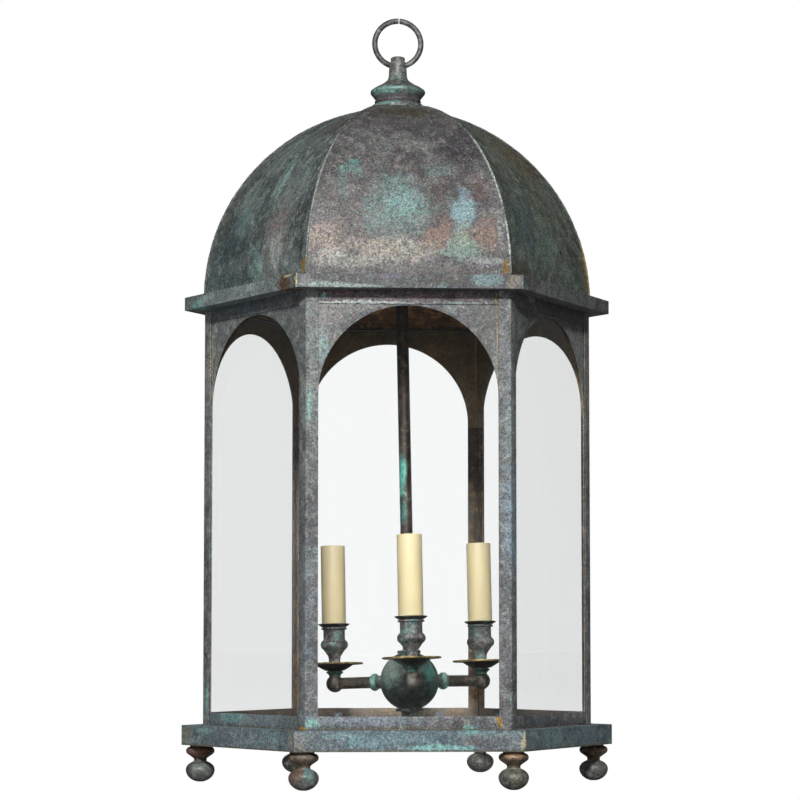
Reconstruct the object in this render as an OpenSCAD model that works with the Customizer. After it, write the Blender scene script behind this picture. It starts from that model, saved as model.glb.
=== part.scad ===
// Pendant lantern: a glazed six-sided body under a dome of six gores, with a hanging ring, six
// ball feet and three candle lights on a central stem. It stands on its feet, +Z up, origin on
// the ground under the dome's apex, with two posts on the X axis and one face square to -Y.

/* [Body] */
// Width of the glazed body across opposite posts
body_across = 415; // [405:1:425]
// Length of the corner posts
post_h = 442.5; // [380:0.5:520]
// Width of each flat of a folded post
post_flat = 12.7; // [9:0.1:20]
// Thickness of the folded sheet metal
sheet = 1.5; // [1.2:0.1:2]
// Height of a side plate's rail under the opening
rail_h = 13.5; // [8:0.5:30]
// Height of a side plate over the top of its arch
arch_crown = 15.2; // [8:0.1:40]
// Height of the strip across the top of each side plate
strip_h = 14; // [6:0.5:24]
// Thickness of that strip
strip_t = 1.2; // [0.8:0.1:1.5]

/* [Base and cornice] */
// Reach of the base ring past a post's corner
base_reach = 22.5; // [20:0.5:34]
// Height of the base ring
base_h = 21; // [16:0.5:32]
// Reach of the cornice past a post's corner
cornice_reach = 21.5; // [12:0.5:34]
// Height of the cornice
cornice_h = 14; // [10:0.5:24]
// How far the flanges of both rings reach in past the glass
ledge = 10; // [8:0.5:14]

/* [Glass] */
// Thickness of the panes
pane_t = 2.5; // [2:0.1:4]
// Gap between a pane's upright edge and the mitre of two plates
pane_gap = 2.5; // [2:0.1:6]
// Gap over a pane
pane_play = 1; // [0.5:0.1:3]
// Width of a glass clip
clip_w = 8; // [5:0.5:14]
// Height of a clip's leg against the glass
clip_h = 8; // [5:0.5:12]
// Length of a clip's foot on the flange
clip_foot = 6; // [4:0.5:7.5]
// Thickness of a clip
clip_t = 1; // [0.6:0.1:1.5]
// Place of the lower clips, from the middle of a pane
clip_low_at = 57; // [20:1:80]
// Place of the upper clips, from the middle of a pane
clip_high_at = 85; // [20:1:88]

/* [Dome] */
// Rise of the dome over the cornice
dome_rise = 208; // [160:1:260]
// Number of chords in a gore's curve
dome_chords = 30; // [16:1:40]

/* [Finial] */
// Radius of the skirt on the dome
skirt_r = 29.6; // [24:0.1:34]
// Radius of the waist over the skirt
waist_r = 24.2; // [18:0.1:27]
// Radius of the flare
flare_r = 29.7; // [26:0.1:36]
// Radius of the neck
neck_r = 9.7; // [8:0.1:12]
// Radius of the button
button_r = 7.7; // [6:0.1:9]
// Height of the skirt
skirt_h = 5.2; // [4:0.1:8]
// Height of the waist's bead
bead_h = 3.6; // [3:0.1:6]
// Height of the bowl under the flare
bowl_h = 8.9; // [6:0.1:14]
// Height of the shoulder over the flare
shoulder_h = 13.1; // [9:0.1:18]
// Height of the neck
neck_h = 21.9; // [19:0.1:30]
// Height of the button
button_h = 3.8; // [3:0.1:6]
// Radius of the threaded stud under the finial
stud_r = 5; // [4:0.1:6]
// Length of the stud
stud_len = 14.5; // [10:0.5:18]

/* [Hanging ring] */
// Outer diameter of the ring
ring_across = 56; // [50:0.5:70]
// Diameter of the ring's rod
ring_rod = 6; // [4:0.1:7]
// Width of the slit between the rod's ends
ring_slit = 1; // [0.5:0.1:3]
// Turn of the slit away from the top, in degrees
slit_turn = 3; // [0:0.5:30]
// Gap round the rod where it passes through the neck
ring_gap = 0.6; // [0.4:0.05:1]
// Height of the cross hole over the shoulder
ring_hole_up = 16.5; // [9:0.1:17]

/* [Feet] */
// Distance of a foot's axis in from the base ring's corner
foot_in = 20; // [18:0.5:26]
// Radius of a foot's ball
ball_r = 15.3; // [12:0.1:18]
// Height of the ball up to its widest place
ball_low = 12.8; // [10:0.1:16]
// Height of the ball over its widest place, if it closed
ball_high = 9.9; // [8:0.1:14]
// Radius of the flat under the ball
ball_flat = 3; // [1:0.5:5]
// Radius of a foot's neck
foot_neck_r = 6.9; // [5:0.1:9]
// Length of the foot's neck
foot_neck_h = 2.9; // [2:0.1:6]
// Height of the cone over the neck
foot_cone_h = 4.9; // [3:0.1:8]
// Radius of the knob's rounded edge
knob_round = 4.2; // [3:0.1:5]
// Radius of the short seat over the knob
foot_seat_r = 10.9; // [9:0.1:11.5]
// Height of the seat
foot_seat_h = 2; // [1:0.1:4]
// Radius of a foot's stud
foot_stud_r = 3; // [2.5:0.1:4]
// Width of a nut across its flats
nut_across = 10; // [9:0.5:13]
// Height of a nut
nut_h = 5; // [3:0.5:6]
// Length of the stud over its nut
stud_over = 2; // [1:0.5:4]

/* [Candle cluster] */
// Height of the hub's centre over the base ring
hub_up = 46; // [42.5:0.5:90]
// Lean of the whole cluster towards the front, in degrees
lean_front = 2.4; // [0:0.1:3]
// Lean of the whole cluster towards the right, in degrees
lean_side = 1; // [0:0.1:2]
// Turn of the three arms about the stem, in degrees
arm_turn = -2; // [-10:0.5:10]
// Radius of the hub's ball
hub_r = 31; // [28:0.5:36]
// Thickness of the hub's wall
hub_wall = 2.5; // [2:0.1:4]
// Radius of the stem
stem_r = 6.5; // [5:0.1:8]
// Radius of the bore along the stem
stem_bore = 4.5; // [3:0.1:4.8]
// Radius of the coupling at the top of the stem
coupling_r = 11; // [10:0.5:14]
// Length of the coupling
coupling_h = 26; // [24:0.5:34]
// Radius of the circle on which the candles stand
candle_circle = 91; // [80:1:100]
// Radius of an arm's tube
arm_r = 6.1; // [5:0.1:7]
// Radius of the wire way along an arm
arm_bore = 4; // [3:0.1:4.5]
// Radius of the bead where an arm meets the hub
bead_r = 9.25; // [8.5:0.05:11]
// Radius of the ball at an arm's end
elbow_r = 9.4; // [8.5:0.1:12]
// Height of the collar over that ball
disc_h = 4.6; // [3.5:0.1:7]

/* [Candles] */
// Radius of a drip pan
pan_r = 30.5; // [24:0.5:36]
// Width of a pan's flat brim
pan_brim = 9.5; // [6:0.5:14]
// Rise of the brim over the pan's floor
pan_rise = 6.4; // [3:0.1:12]
// Thickness of a pan
pan_t = 1.8; // [0.8:0.1:2.4]
// Radius of a candle cup's foot
cup_foot_r = 8.5; // [7.5:0.1:9]
// Radius of the cup's neck
cup_neck_r = 6.2; // [6.2:0.1:7.5]
// Height of the cup's neck, with its foot
cup_neck_h = 13.3; // [10:0.1:18]
// Radius of the cup's bulb
bulb_r = 14.8; // [13.5:0.1:17]
// Radius of the cup's barrel
barrel_r = 11.6; // [11.5:0.1:12.5]
// Height of the barrel
barrel_h = 10.3; // [6:0.1:18]
// Radius of the cup's flange
flange_r = 16.9; // [15:0.1:20]
// Height of the flange, with the bevel under it
flange_h = 3.1; // [2:0.1:4]
// Thickness of the flange at its edge
flange_edge = 0.9; // [0.6:0.1:1.5]
// Diameter of a candle sleeve
sleeve_across = 26; // [26:0.5:30]
// Length of a candle sleeve
sleeve_len = 84; // [65:1:100]
// Wall of a candle sleeve
sleeve_wall = 0.8; // [0.6:0.1:1]
// Radius of a lamp holder's thread, for a small screw cap
socket_r = 6.95; // [6.9:0.05:7.2]
// Depth of the lamp holder's socket
socket_depth = 24; // [18:1:27]
// Drop of the lamp holder under the sleeve's top
holder_drop = 3; // [1:0.5:8]
// Radius of the threaded nipple through each candle
nipple_r = 5; // [4.5:0.1:5]
// Radius of the bore along the nipple
nipple_bore = 3.5; // [2:0.1:3.8]

/* [Hidden] */
$fn = 64;

// Running clearance between a stud, tube or nipple and its bore
slip = 0.1;
// Depth by which a cut passes through the face it opens
past = 1;

// A hexagon's corner radius and its apothem
half_angle = 30;
apothem_share = cos(half_angle);
body_r = body_across / 2;
body_apothem = body_r * apothem_share;
sheet_at_corner = sheet / apothem_share;
base_r = body_r + base_reach;
cornice_r = body_r + cornice_reach;

// Planes behind a post's flat: the side plate, then the pane, then the flanges' inner edge
plate_in = body_apothem - 2 * sheet;
pane_in = plate_in - pane_t;
ledge_r = (pane_in - ledge) / apothem_share;
pane_half = pane_in * tan(half_angle) - pane_gap;
opening_half = body_r / 2 - post_flat;
arch_spring = post_h - arch_crown - opening_half;

// Heights of a foot's stages, from its flat up
ball_mid = ball_low * sin(acos(ball_flat / ball_r));
ball_top_angle = acos(foot_neck_r / ball_r);
foot_neck_z = ball_mid + ball_high * sin(ball_top_angle);
foot_cone_z = foot_neck_z + foot_neck_h;
knob_edge_angle = -50;
knob_z = foot_cone_z + foot_cone_h - knob_round * sin(knob_edge_angle);
foot_h = knob_z + knob_round + foot_seat_h;
foot_circle = base_r - foot_in;
foot_stud_h = sheet + nut_h + stud_over;

// Heights of the body's stages, from the ground up
base_top = foot_h + base_h;
cornice_z = base_top + post_h;
dome_z = cornice_z + cornice_h;
apex_z = dome_z + dome_rise;

// Stages of the finial over the dome's apex
skirt_drop = 4;
waist_z = skirt_h;
bowl_z = waist_z + bead_h;
flare_z = bowl_z + bowl_h;
shoulder_z = flare_z + shoulder_h;
neck_z = shoulder_z + neck_h;
finial_h = neck_z + button_h;
ring_hole_z = apex_z + shoulder_z + ring_hole_up;
ring_mid = (ring_across - ring_rod) / 2;
// The rod bends inside its hole, by this much at the neck's surface
ring_bow = ring_mid - sqrt(pow(ring_mid, 2) - pow(neck_r, 2));
ring_hole_r = ring_rod / 2 + ring_bow / 2 + ring_gap;
ring_z = ring_hole_z + ring_mid - ring_bow / 2;

// The cluster, drawn upright under the apex and then leaned about it
hub_z = base_top + hub_up;
hub_disc_h = 3;
hub_disc_r = stem_r + 5.8;
hub_neck_r = stem_r + 3.5;
hub_top = hub_r + 1.3;
hub_foot = 0.926 * hub_r;
hub_hole_r = 10;
cap_disc_h = 3.2;
cap_disc_r = hub_hole_r + 4.9;
cap_drum_h = 9.4;
cap_drum_r = 9.5;
coupling_drop = 2.2;
stem_in_hub = hub_r - hub_wall - 3;
stem_in_coupling = 9;
coupling_web = 2;
boss_end = hub_r + 7;
boss_r = arm_r + 0.9;
bead_round = 4;
arm_in_hub = hub_r - hub_wall - 1.5;

// Stages of a candle over the height of its arm
disc_r = 9.2;
collar_r = disc_r - 1.6;
pan_floor_r = disc_r + 0.8;
pan_z = elbow_r + disc_h;
cup_z = pan_z + pan_t;
bulb_round = 5.8;
bulb_angle = 60;
bulb_mid = cup_neck_h + 12.5;
barrel_z = bulb_mid + bulb_round;
rim_z = barrel_z + barrel_h;
rim_h = 3.3;
rim_r = barrel_r + 2.2;
cup_h = rim_z + rim_h + flange_h;
cup_wall = 1.5;
cup_floor = bulb_mid - 3.8;
sleeve_z = cup_z + cup_h;
sleeve_r = sleeve_across / 2;
holder_z = cup_z + cup_floor;
holder_base_r = barrel_r - cup_wall - 0.3;
holder_base_h = 3;
holder_stem_r = nipple_r + 1.4;
holder_top = sleeve_z + sleeve_len - holder_drop;
holder_r = sleeve_r - sleeve_wall - 0.8;
holder_body_h = socket_depth + 10;
nipple_in_arm = 2;
nipple_in_holder = 9;

// Compass direction of face k, of corner k and of arm k; face 1 looks to the front, -Y
function face_angle(k) = 270 + 60 * (k - 1);
function corner_angle(k) = 240 + 60 * (k - 1);
function arm_angle(k) = 270 + arm_turn + 120 * (k - 1);

// Points along an arc, or along a quarter of an ellipse when the radii differ
function arc(centre, rx, ry, from, to, steps) =
    [for (i = [0:steps]) let (a = from + (to - from) * i / steps)
        [centre[0] + rx * cos(a), centre[1] + ry * sin(a)]];

// Points of a gore's curve, seen along the gore, at a given depth under its outer face
function dome_curve(depth) =
    arc([0, 0], body_apothem - depth, dome_rise - depth, 0, 90, dome_chords);

module hexagon(r, h) {
    cylinder(r = r, h = h, $fn = 6);
}

// A sixth of all space, centred on +X
module wedge(h) {
    reach = 2 * body_r;
    linear_extrude(height = h)
        polygon([[0, 0], [reach, -reach * tan(half_angle)], [reach, reach * tan(half_angle)]]);
}

// Sets a drawing in the YZ plane and gives it a thickness towards +X
module upright(t) {
    rotate([90, 0, 90]) linear_extrude(height = t) children();
}

// A hexagonal ring folded from sheet: an outer band with two flanges turned in
module folded_ring(r, h, low_hole, high_hole) {
    difference() {
        hexagon(r, h);
        translate([0, 0, sheet]) hexagon(r - sheet_at_corner, h - 2 * sheet);
        translate([0, 0, -past]) hexagon(low_hole, sheet + 2 * past);
        translate([0, 0, h - sheet - past]) hexagon(high_hole, sheet + 2 * past);
    }
}

// The solid that the dome's outer face bounds, down to its skirt
module vault() {
    half = concat([[body_apothem, sheet - cornice_h]], dome_curve(0));
    outline = concat(half, [for (i = [len(half) - 2:-1:0]) [-half[i][0], half[i][1]]]);
    translate([0, 0, dome_z]) intersection_for(a = [30, 90, 150])
        rotate([0, 0, a]) rotate([90, 0, 0])
            linear_extrude(height = 2 * body_across, center = true) polygon(outline);
}

// Leans the upright cluster about the dome's apex
module leaned() {
    translate([0, 0, apex_z]) rotate([-lean_front, -lean_side, 0]) translate([0, 0, -apex_z]) children();
}

// Puts a part of candle k over the end of its arm
module at_candle(k) {
    leaned() translate([0, 0, hub_z]) rotate([0, 0, arm_angle(k)]) translate([candle_circle, 0, 0]) children();
}

module hanging_ring() {
    slit_angle = 360 * ring_slit / (2 * PI * ring_mid);
    color("#5a5853") translate([0, 0, ring_z]) rotate([90, 0, 0])
        rotate([0, 0, 90 - slit_turn + slit_angle / 2])
            rotate_extrude(angle = 360 - slit_angle) translate([ring_mid, 0]) circle(d = ring_rod);
}

module ring_finial() {
    lip = 1.4;
    outline = concat(
        [[0, -skirt_drop], [skirt_r, -skirt_drop], [skirt_r, 0], [skirt_r - lip, 0.6 * skirt_h]],
        [[waist_r, waist_z], [waist_r, waist_z + 1]],
        arc([waist_r - 0.4, waist_z + bead_h / 2], 1.2, bead_h / 2 - 1, -90, 90, 6),
        [[waist_r, bowl_z]],
        arc([flare_r - 3, flare_z], 3, 3, -40, 50, 8),
        [[neck_r + 1.9, shoulder_z], [neck_r + 0.5, shoulder_z + 2.2], [neck_r, shoulder_z + 5]],
        [[neck_r, shoulder_z + 10], [button_r + 0.3, neck_z - 0.6], [button_r - 0.4, neck_z]],
        [[button_r, neck_z + 0.6], [button_r, finial_h - 1], [button_r - 1.2, finial_h], [0, finial_h]]);
    color("#59605a") {
        difference() {
            translate([0, 0, apex_z]) rotate_extrude() polygon(outline);
            vault();
            translate([0, 0, ring_hole_z]) rotate([0, 90, 0])
                cylinder(r = ring_hole_r, h = 4 * neck_r, center = true);
        }
        translate([0, 0, apex_z - stud_len]) cylinder(r = stud_r, h = stud_len + past);
    }
}

// One gore: a strip of curved sheet with mitred edges and a short upright skirt
module dome_panel(k) {
    skirt_foot = sheet - cornice_h;
    inner = dome_curve(sheet);
    outline = concat([[body_apothem, skirt_foot]], dome_curve(0),
        [for (i = [len(inner) - 1:-1:0]) inner[i]], [[body_apothem - sheet, skirt_foot]]);
    color("#5d6664") rotate([0, 0, face_angle(k)]) difference() {
        intersection() {
            translate([0, 0, dome_z]) rotate([90, 0, 0])
                linear_extrude(height = 2 * body_r, center = true) polygon(outline);
            translate([0, 0, cornice_z]) wedge(cornice_h + dome_rise + past);
        }
        translate([0, 0, apex_z - dome_rise / 4]) cylinder(r = stud_r + 3 * slip, h = dome_rise / 2);
    }
}

module cornice() {
    color("#6b706c") translate([0, 0, cornice_z]) folded_ring(cornice_r, cornice_h, ledge_r, body_r);
}

module base_ring() {
    color("#666c6a") difference() {
        translate([0, 0, foot_h]) folded_ring(base_r, base_h, ledge_r, ledge_r);
        for (k = [1:6]) rotate([0, 0, corner_angle(k)])
            translate([foot_circle, 0, foot_h - past]) cylinder(r = foot_stud_r + slip, h = sheet + 2 * past);
    }
}

// A folded corner strip, its two flats lying in the planes of the neighbouring faces
module post(k) {
    tip = [-post_flat * sin(half_angle), post_flat * apothem_share];
    turn_in = [-sheet * apothem_share, -sheet * sin(half_angle)];
    side = [tip, tip + turn_in];
    color("#6f706b") rotate([0, 0, corner_angle(k)]) translate([body_r, 0, base_top])
        linear_extrude(height = post_h)
            polygon([[0, 0], side[0], side[1], [-sheet_at_corner, 0],
                [side[1][0], -side[1][1]], [side[0][0], -side[0][1]]]);
}

module side_plate(k) {
    color("#6a6e6b") rotate([0, 0, face_angle(k)]) translate([0, 0, base_top]) intersection() {
        translate([plate_in, 0, 0]) upright(sheet) difference() {
            translate([-body_r, 0]) square([2 * body_r, post_h]);
            translate([-opening_half, rail_h]) square([2 * opening_half, arch_spring - rail_h]);
            translate([0, arch_spring]) circle(r = opening_half, $fn = 96);
        }
        wedge(post_h);
    }
}

// Strips of sheet across the tops of the side plates, from post to post
module top_strips() {
    color("#5d5855") for (k = [1:6]) rotate([0, 0, face_angle(k)])
        translate([plate_in + sheet, slip - opening_half, cornice_z - min(strip_h, arch_crown)])
            cube([strip_t, 2 * (opening_half - slip), min(strip_h, arch_crown)]);
}

module glass_pane(k) {
    color("#dfe8ea", 0.35) rotate([0, 0, face_angle(k)]) translate([pane_in, -pane_half, base_top])
        cube([pane_t, 2 * pane_half, post_h - pane_play]);
}

// A bent tab that stands on a flange and keeps a pane against its plate
module glass_clip(at) {
    translate([pane_in, at, 0]) rotate([90, 0, 0]) linear_extrude(height = clip_w, center = true)
        polygon([[0, 0], [0, clip_h], [-clip_t, clip_h], [-clip_t, clip_t], [-clip_foot, clip_t], [-clip_foot, 0]]);
}

module glass_clips() {
    color("#7b7f86") for (k = [1:6], side = [-1, 1]) rotate([0, 0, face_angle(k)]) {
        translate([0, 0, base_top]) glass_clip(side * clip_low_at);
        translate([0, 0, cornice_z]) mirror([0, 0, 1]) glass_clip(side * clip_high_at);
    }
}

module foot(k) {
    knob_r = foot_seat_r;
    outline = concat(
        [[0, 0]],
        arc([0, ball_mid], ball_r, ball_low, -acos(ball_flat / ball_r), 0, 10),
        arc([0, ball_mid], ball_r, ball_high, ball_top_angle / 6, ball_top_angle, 5),
        [[foot_neck_r, foot_cone_z]],
        arc([knob_r, knob_z], knob_round, knob_round, knob_edge_angle, 90, 8),
        [[foot_seat_r, foot_h], [foot_stud_r, foot_h], [foot_stud_r, foot_h + foot_stud_h]],
        [[0, foot_h + foot_stud_h]]);
    color("#4d463f") rotate([0, 0, corner_angle(k)]) translate([foot_circle, 0, 0])
        rotate_extrude() polygon(outline);
}

module foot_nuts() {
    color("#8a7a52") for (k = [1:6]) rotate([0, 0, corner_angle(k)])
        translate([foot_circle, 0, foot_h + sheet]) difference() {
            cylinder(d = nut_across / apothem_share, h = nut_h, $fn = 6);
            translate([0, 0, -past]) cylinder(r = foot_stud_r + slip, h = nut_h + 2 * past);
        }
}

// A socket that slips over the finial's stud from below and takes the stem's top end
module stem_coupling() {
    stud_bore = stud_r + 0.8;
    stud_room = stud_len - coupling_drop + 1.2;
    color("#4a4038") leaned() translate([0, 0, apex_z - coupling_drop - coupling_h]) difference() {
        cylinder(r = coupling_r, h = coupling_h);
        translate([0, 0, coupling_h - stud_room]) cylinder(r = stud_bore, h = stud_room + past);
        translate([0, 0, -past]) cylinder(r = stem_r + slip, h = stem_in_coupling + past);
    }
}

module stem() {
    stem_low = hub_z + stem_in_hub;
    stem_top = apex_z - coupling_drop - coupling_h + stem_in_coupling - slip;
    color("#3d3531") leaned() translate([0, 0, stem_low]) difference() {
        cylinder(r = stem_r, h = stem_top - stem_low);
        translate([0, 0, -past]) cylinder(r = stem_bore, h = stem_top - stem_low + 2 * past);
    }
}

module hub() {
    color("#47544d") leaned() translate([0, 0, hub_z]) difference() {
        union() {
            sphere(r = hub_r);
            translate([0, 0, hub_r - 6]) cylinder(r = hub_neck_r, h = hub_top - hub_r + 5);
            translate([0, 0, hub_top - hub_disc_h]) cylinder(r = hub_disc_r, h = hub_disc_h);
            for (k = [1:3]) rotate([0, 0, arm_angle(k)]) translate([hub_r - 4, 0, 0]) rotate([0, 90, 0])
                cylinder(r = boss_r, h = boss_end - hub_r + 4);
        }
        sphere(r = hub_r - hub_wall);
        cylinder(r = stem_r + slip, h = hub_top + past);
        for (k = [1:3]) rotate([0, 0, arm_angle(k)]) rotate([0, 90, 0])
            cylinder(r = arm_r + slip, h = boss_end + past);
        translate([0, 0, -hub_foot - hub_r]) cylinder(r = hub_r, h = hub_r);
        translate([0, 0, -hub_r]) cylinder(r = hub_hole_r, h = hub_r);
    }
}

module hub_cap() {
    spigot = 3;
    bevel = 2.5;
    outline = [[0, spigot], [hub_hole_r - slip, spigot], [hub_hole_r - slip, 0], [cap_disc_r - 0.8, 0],
        [cap_disc_r, -0.8], [cap_disc_r, 0.8 - cap_disc_h], [cap_disc_r - 0.8, -cap_disc_h],
        [cap_drum_r, -cap_disc_h], [cap_drum_r - 0.5, bevel - cap_disc_h - cap_drum_h],
        [cap_drum_r - bevel, -cap_disc_h - cap_drum_h], [0, -cap_disc_h - cap_drum_h]];
    color("#333a36") leaned() translate([0, 0, hub_z - hub_foot]) rotate_extrude() polygon(outline);
}

// A tube with a bead near the hub, and a ball with a spool-shaped collar under the candle
module arm(k) {
    spool = [[0, elbow_r - 2], [disc_r - 3, elbow_r - 2], [disc_r - 3, elbow_r - 0.4],
        [disc_r, pan_z - 2.3], [disc_r, pan_z - 1.1], [collar_r, pan_z - 0.8], [collar_r, pan_z], [0, pan_z]];
    color("#46504a") at_candle(k) difference() {
        union() {
            translate([arm_in_hub - candle_circle, 0, 0]) rotate([0, 90, 0])
                cylinder(r = arm_r, h = candle_circle - arm_in_hub);
            translate([boss_end + bead_round - candle_circle, 0, 0]) rotate([0, 90, 0]) {
                rotate_extrude() translate([bead_r - bead_round, 0]) circle(r = bead_round);
                cylinder(r = bead_r - bead_round, h = 2 * bead_round, center = true);
            }
            sphere(r = elbow_r);
            rotate_extrude() polygon(spool);
        }
        translate([-candle_circle, 0, 0]) rotate([0, 90, 0]) cylinder(r = arm_bore, h = candle_circle);
        translate([0, 0, nipple_in_arm - slip]) cylinder(r = nipple_r + slip, h = pan_z);
    }
}

module nipple(k) {
    top = holder_z + nipple_in_holder;
    color("#8c7a4c") at_candle(k) translate([0, 0, nipple_in_arm]) difference() {
        cylinder(r = nipple_r, h = top - nipple_in_arm);
        translate([0, 0, -past]) cylinder(r = nipple_bore, h = top - nipple_in_arm + 2 * past);
    }
}

// A shallow dish with a flat brim
module drip_pan(k) {
    brim_in = pan_r - pan_brim;
    flare = 0.8;
    under = [[pan_floor_r, 0], [pan_floor_r + 0.45 * (brim_in - pan_floor_r), 0.4 * pan_rise],
        [brim_in - flare, 0.93 * pan_rise], [brim_in + flare, pan_rise]];
    outline = concat([[nipple_r + slip, 0]], under,
        [[pan_r, pan_rise], [pan_r, pan_rise + pan_t - 0.3], [pan_r - 0.3, pan_rise + pan_t]],
        [for (i = [len(under) - 1:-1:0]) under[i] + [-0.3, pan_t]], [[nipple_r + slip, pan_t]]);
    color("#7d6f45") at_candle(k) translate([0, 0, pan_z]) rotate_extrude() polygon(outline);
}

module candle_cup(k) {
    bore = nipple_r + slip;
    room = barrel_r - cup_wall;
    outline = concat(
        [[bore, 0], [cup_foot_r, 0], [cup_foot_r, 1.2], [cup_neck_r, 4], [cup_neck_r, cup_neck_h - 3]],
        [[cup_neck_r + 0.5, cup_neck_h], [cup_neck_r + 3.3, cup_neck_h + 4.2]],
        arc([bulb_r - bulb_round, bulb_mid], bulb_round, bulb_round, -bulb_angle, bulb_angle, 10),
        [[barrel_r, barrel_z], [barrel_r, rim_z], [rim_r, rim_z + 0.5], [rim_r, rim_z + 2.1]],
        [[barrel_r + 0.7, rim_z + 2.5], [barrel_r + 0.7, rim_z + rim_h - 0.3], [rim_r - 0.4, rim_z + rim_h]],
        [[flange_r, cup_h - flange_edge], [flange_r, cup_h], [room, cup_h], [room, cup_floor], [bore, cup_floor]]);
    color("#48564e") at_candle(k) translate([0, 0, cup_z]) rotate_extrude() polygon(outline);
}

module lamp_holder(k) {
    socket_floor = holder_top - socket_depth;
    outline = [[nipple_r + slip, holder_z], [holder_base_r, holder_z],
        [holder_base_r, holder_z + holder_base_h], [holder_stem_r, holder_z + holder_base_h],
        [holder_stem_r, holder_top - holder_body_h], [holder_r, holder_top - holder_body_h],
        [holder_r, holder_top], [socket_r, holder_top], [socket_r, socket_floor], [0, socket_floor],
        [0, holder_z + nipple_in_holder + 1], [nipple_r + slip, holder_z + nipple_in_holder + 1]];
    color("#d8d2c0") at_candle(k) rotate_extrude() polygon(outline);
}

module candle_sleeve(k) {
    color("#eadcae") at_candle(k) translate([0, 0, sleeve_z]) difference() {
        cylinder(r = sleeve_r, h = sleeve_len);
        translate([0, 0, -past]) cylinder(r = sleeve_r - sleeve_wall, h = sleeve_len + 2 * past);
    }
}

hanging_ring();
ring_finial();
cornice();
base_ring();
top_strips();
glass_clips();
foot_nuts();
stem_coupling();
stem();
hub();
hub_cap();
for (k = [1:6]) {
    dome_panel(k);
    post(k);
    side_plate(k);
    glass_pane(k);
    foot(k);
}
for (k = [1:3]) {
    arm(k);
    nipple(k);
    drip_pan(k);
    candle_cup(k);
    lamp_holder(k);
    candle_sleeve(k);
}
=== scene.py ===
import math
from functools import partial

import bmesh
import bpy
from mathutils import Matrix, Vector


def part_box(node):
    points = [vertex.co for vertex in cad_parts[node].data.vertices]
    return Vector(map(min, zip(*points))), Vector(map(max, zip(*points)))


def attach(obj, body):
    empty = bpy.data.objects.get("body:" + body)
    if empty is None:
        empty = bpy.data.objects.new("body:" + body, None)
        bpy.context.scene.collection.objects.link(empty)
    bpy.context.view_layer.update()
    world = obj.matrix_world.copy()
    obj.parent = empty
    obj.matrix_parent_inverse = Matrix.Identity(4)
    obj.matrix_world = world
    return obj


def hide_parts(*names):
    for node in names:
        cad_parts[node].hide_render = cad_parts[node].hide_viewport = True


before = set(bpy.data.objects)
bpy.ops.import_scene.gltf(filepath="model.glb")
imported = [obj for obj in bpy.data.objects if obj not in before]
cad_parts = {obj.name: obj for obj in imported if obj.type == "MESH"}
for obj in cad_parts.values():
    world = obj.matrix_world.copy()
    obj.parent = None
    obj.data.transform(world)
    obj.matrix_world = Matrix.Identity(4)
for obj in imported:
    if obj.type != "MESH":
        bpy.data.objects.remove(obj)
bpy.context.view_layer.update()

scene = bpy.context.scene
mm = 0.001
faces = range(1, 7)
arms = range(1, 4)
print("solids loaded")

# Heights over the ground in mm, read from the solids so that the looks follow them
heights = {
    "footTop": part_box("base_ring")[0].z / mm,
    "baseTop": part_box("base_ring")[1].z / mm,
    "corniceLow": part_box("cornice")[0].z / mm,
    "domeFoot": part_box("cornice")[1].z / mm,
}
lantern = {
    "postCorner": 207.5,    # centre to the corner of a post
    "sheet": 1.5,           # folded brass
    "domeRise": 208.0,
    "leanFront": 2.4,       # the cluster hangs a little askew, degrees
    "leanSide": 1.0,
    "armTurn": -2.0,
}
apex = heights["domeFoot"] + lantern["domeRise"]
flatShare = math.cos(math.radians(30))
mitre = math.tan(math.radians(30))
apothem = lantern["postCorner"] * flatShare


def faceAngle(k):
    return math.radians(270 + 60 * (k - 1))


def cornerAngle(k):
    return math.radians(240 + 60 * (k - 1))


def armAngle(k):
    return math.radians(270 + lantern["armTurn"] + 120 * (k - 1))


def polar(radius, angle):
    return radius * math.cos(angle), radius * math.sin(angle)


def around(count):
    return [2 * math.pi * i / count for i in range(count)]


def moved(x, y, z):
    return Matrix.Translation((x, y, z))


def rolled(angle, axis="Z"):
    return Matrix.Rotation(angle, 4, axis)


lean = (moved(0, 0, apex) @ rolled(math.radians(-lantern["leanSide"]), "Y")
        @ rolled(math.radians(-lantern["leanFront"]), "X") @ moved(0, 0, -apex))


def linear(hexColour):  # sRGB hex to the linear values that a socket takes
    parts = [int(hexColour[i:i + 2], 16) / 255 for i in (1, 3, 5)]
    return [c / 12.92 if c <= 0.04045 else ((c + 0.055) / 1.055) ** 2.4 for c in parts] + [1.0]


def addNode(tree, kind, inputs=(), **settings):  # inputs by name or in order; a node gives its first live output
    node = tree.nodes.new(kind if "Node" in kind else "ShaderNode" + kind)
    for name, value in settings.items():
        setattr(node, name, value)
    for name, value in (inputs if isinstance(inputs, dict) else dict(enumerate(inputs))).items():
        if isinstance(value, bpy.types.Node):
            value = next(socket for socket in value.outputs if socket.enabled)
        if isinstance(value, bpy.types.NodeSocket):
            tree.links.new(value, node.inputs[name])
        else:
            node.inputs[name].default_value = value
    return node


def newMaterial(name):
    material = bpy.data.materials.new(name)
    material.use_nodes = True
    material.node_tree.nodes.clear()
    return material, material.node_tree


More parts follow.
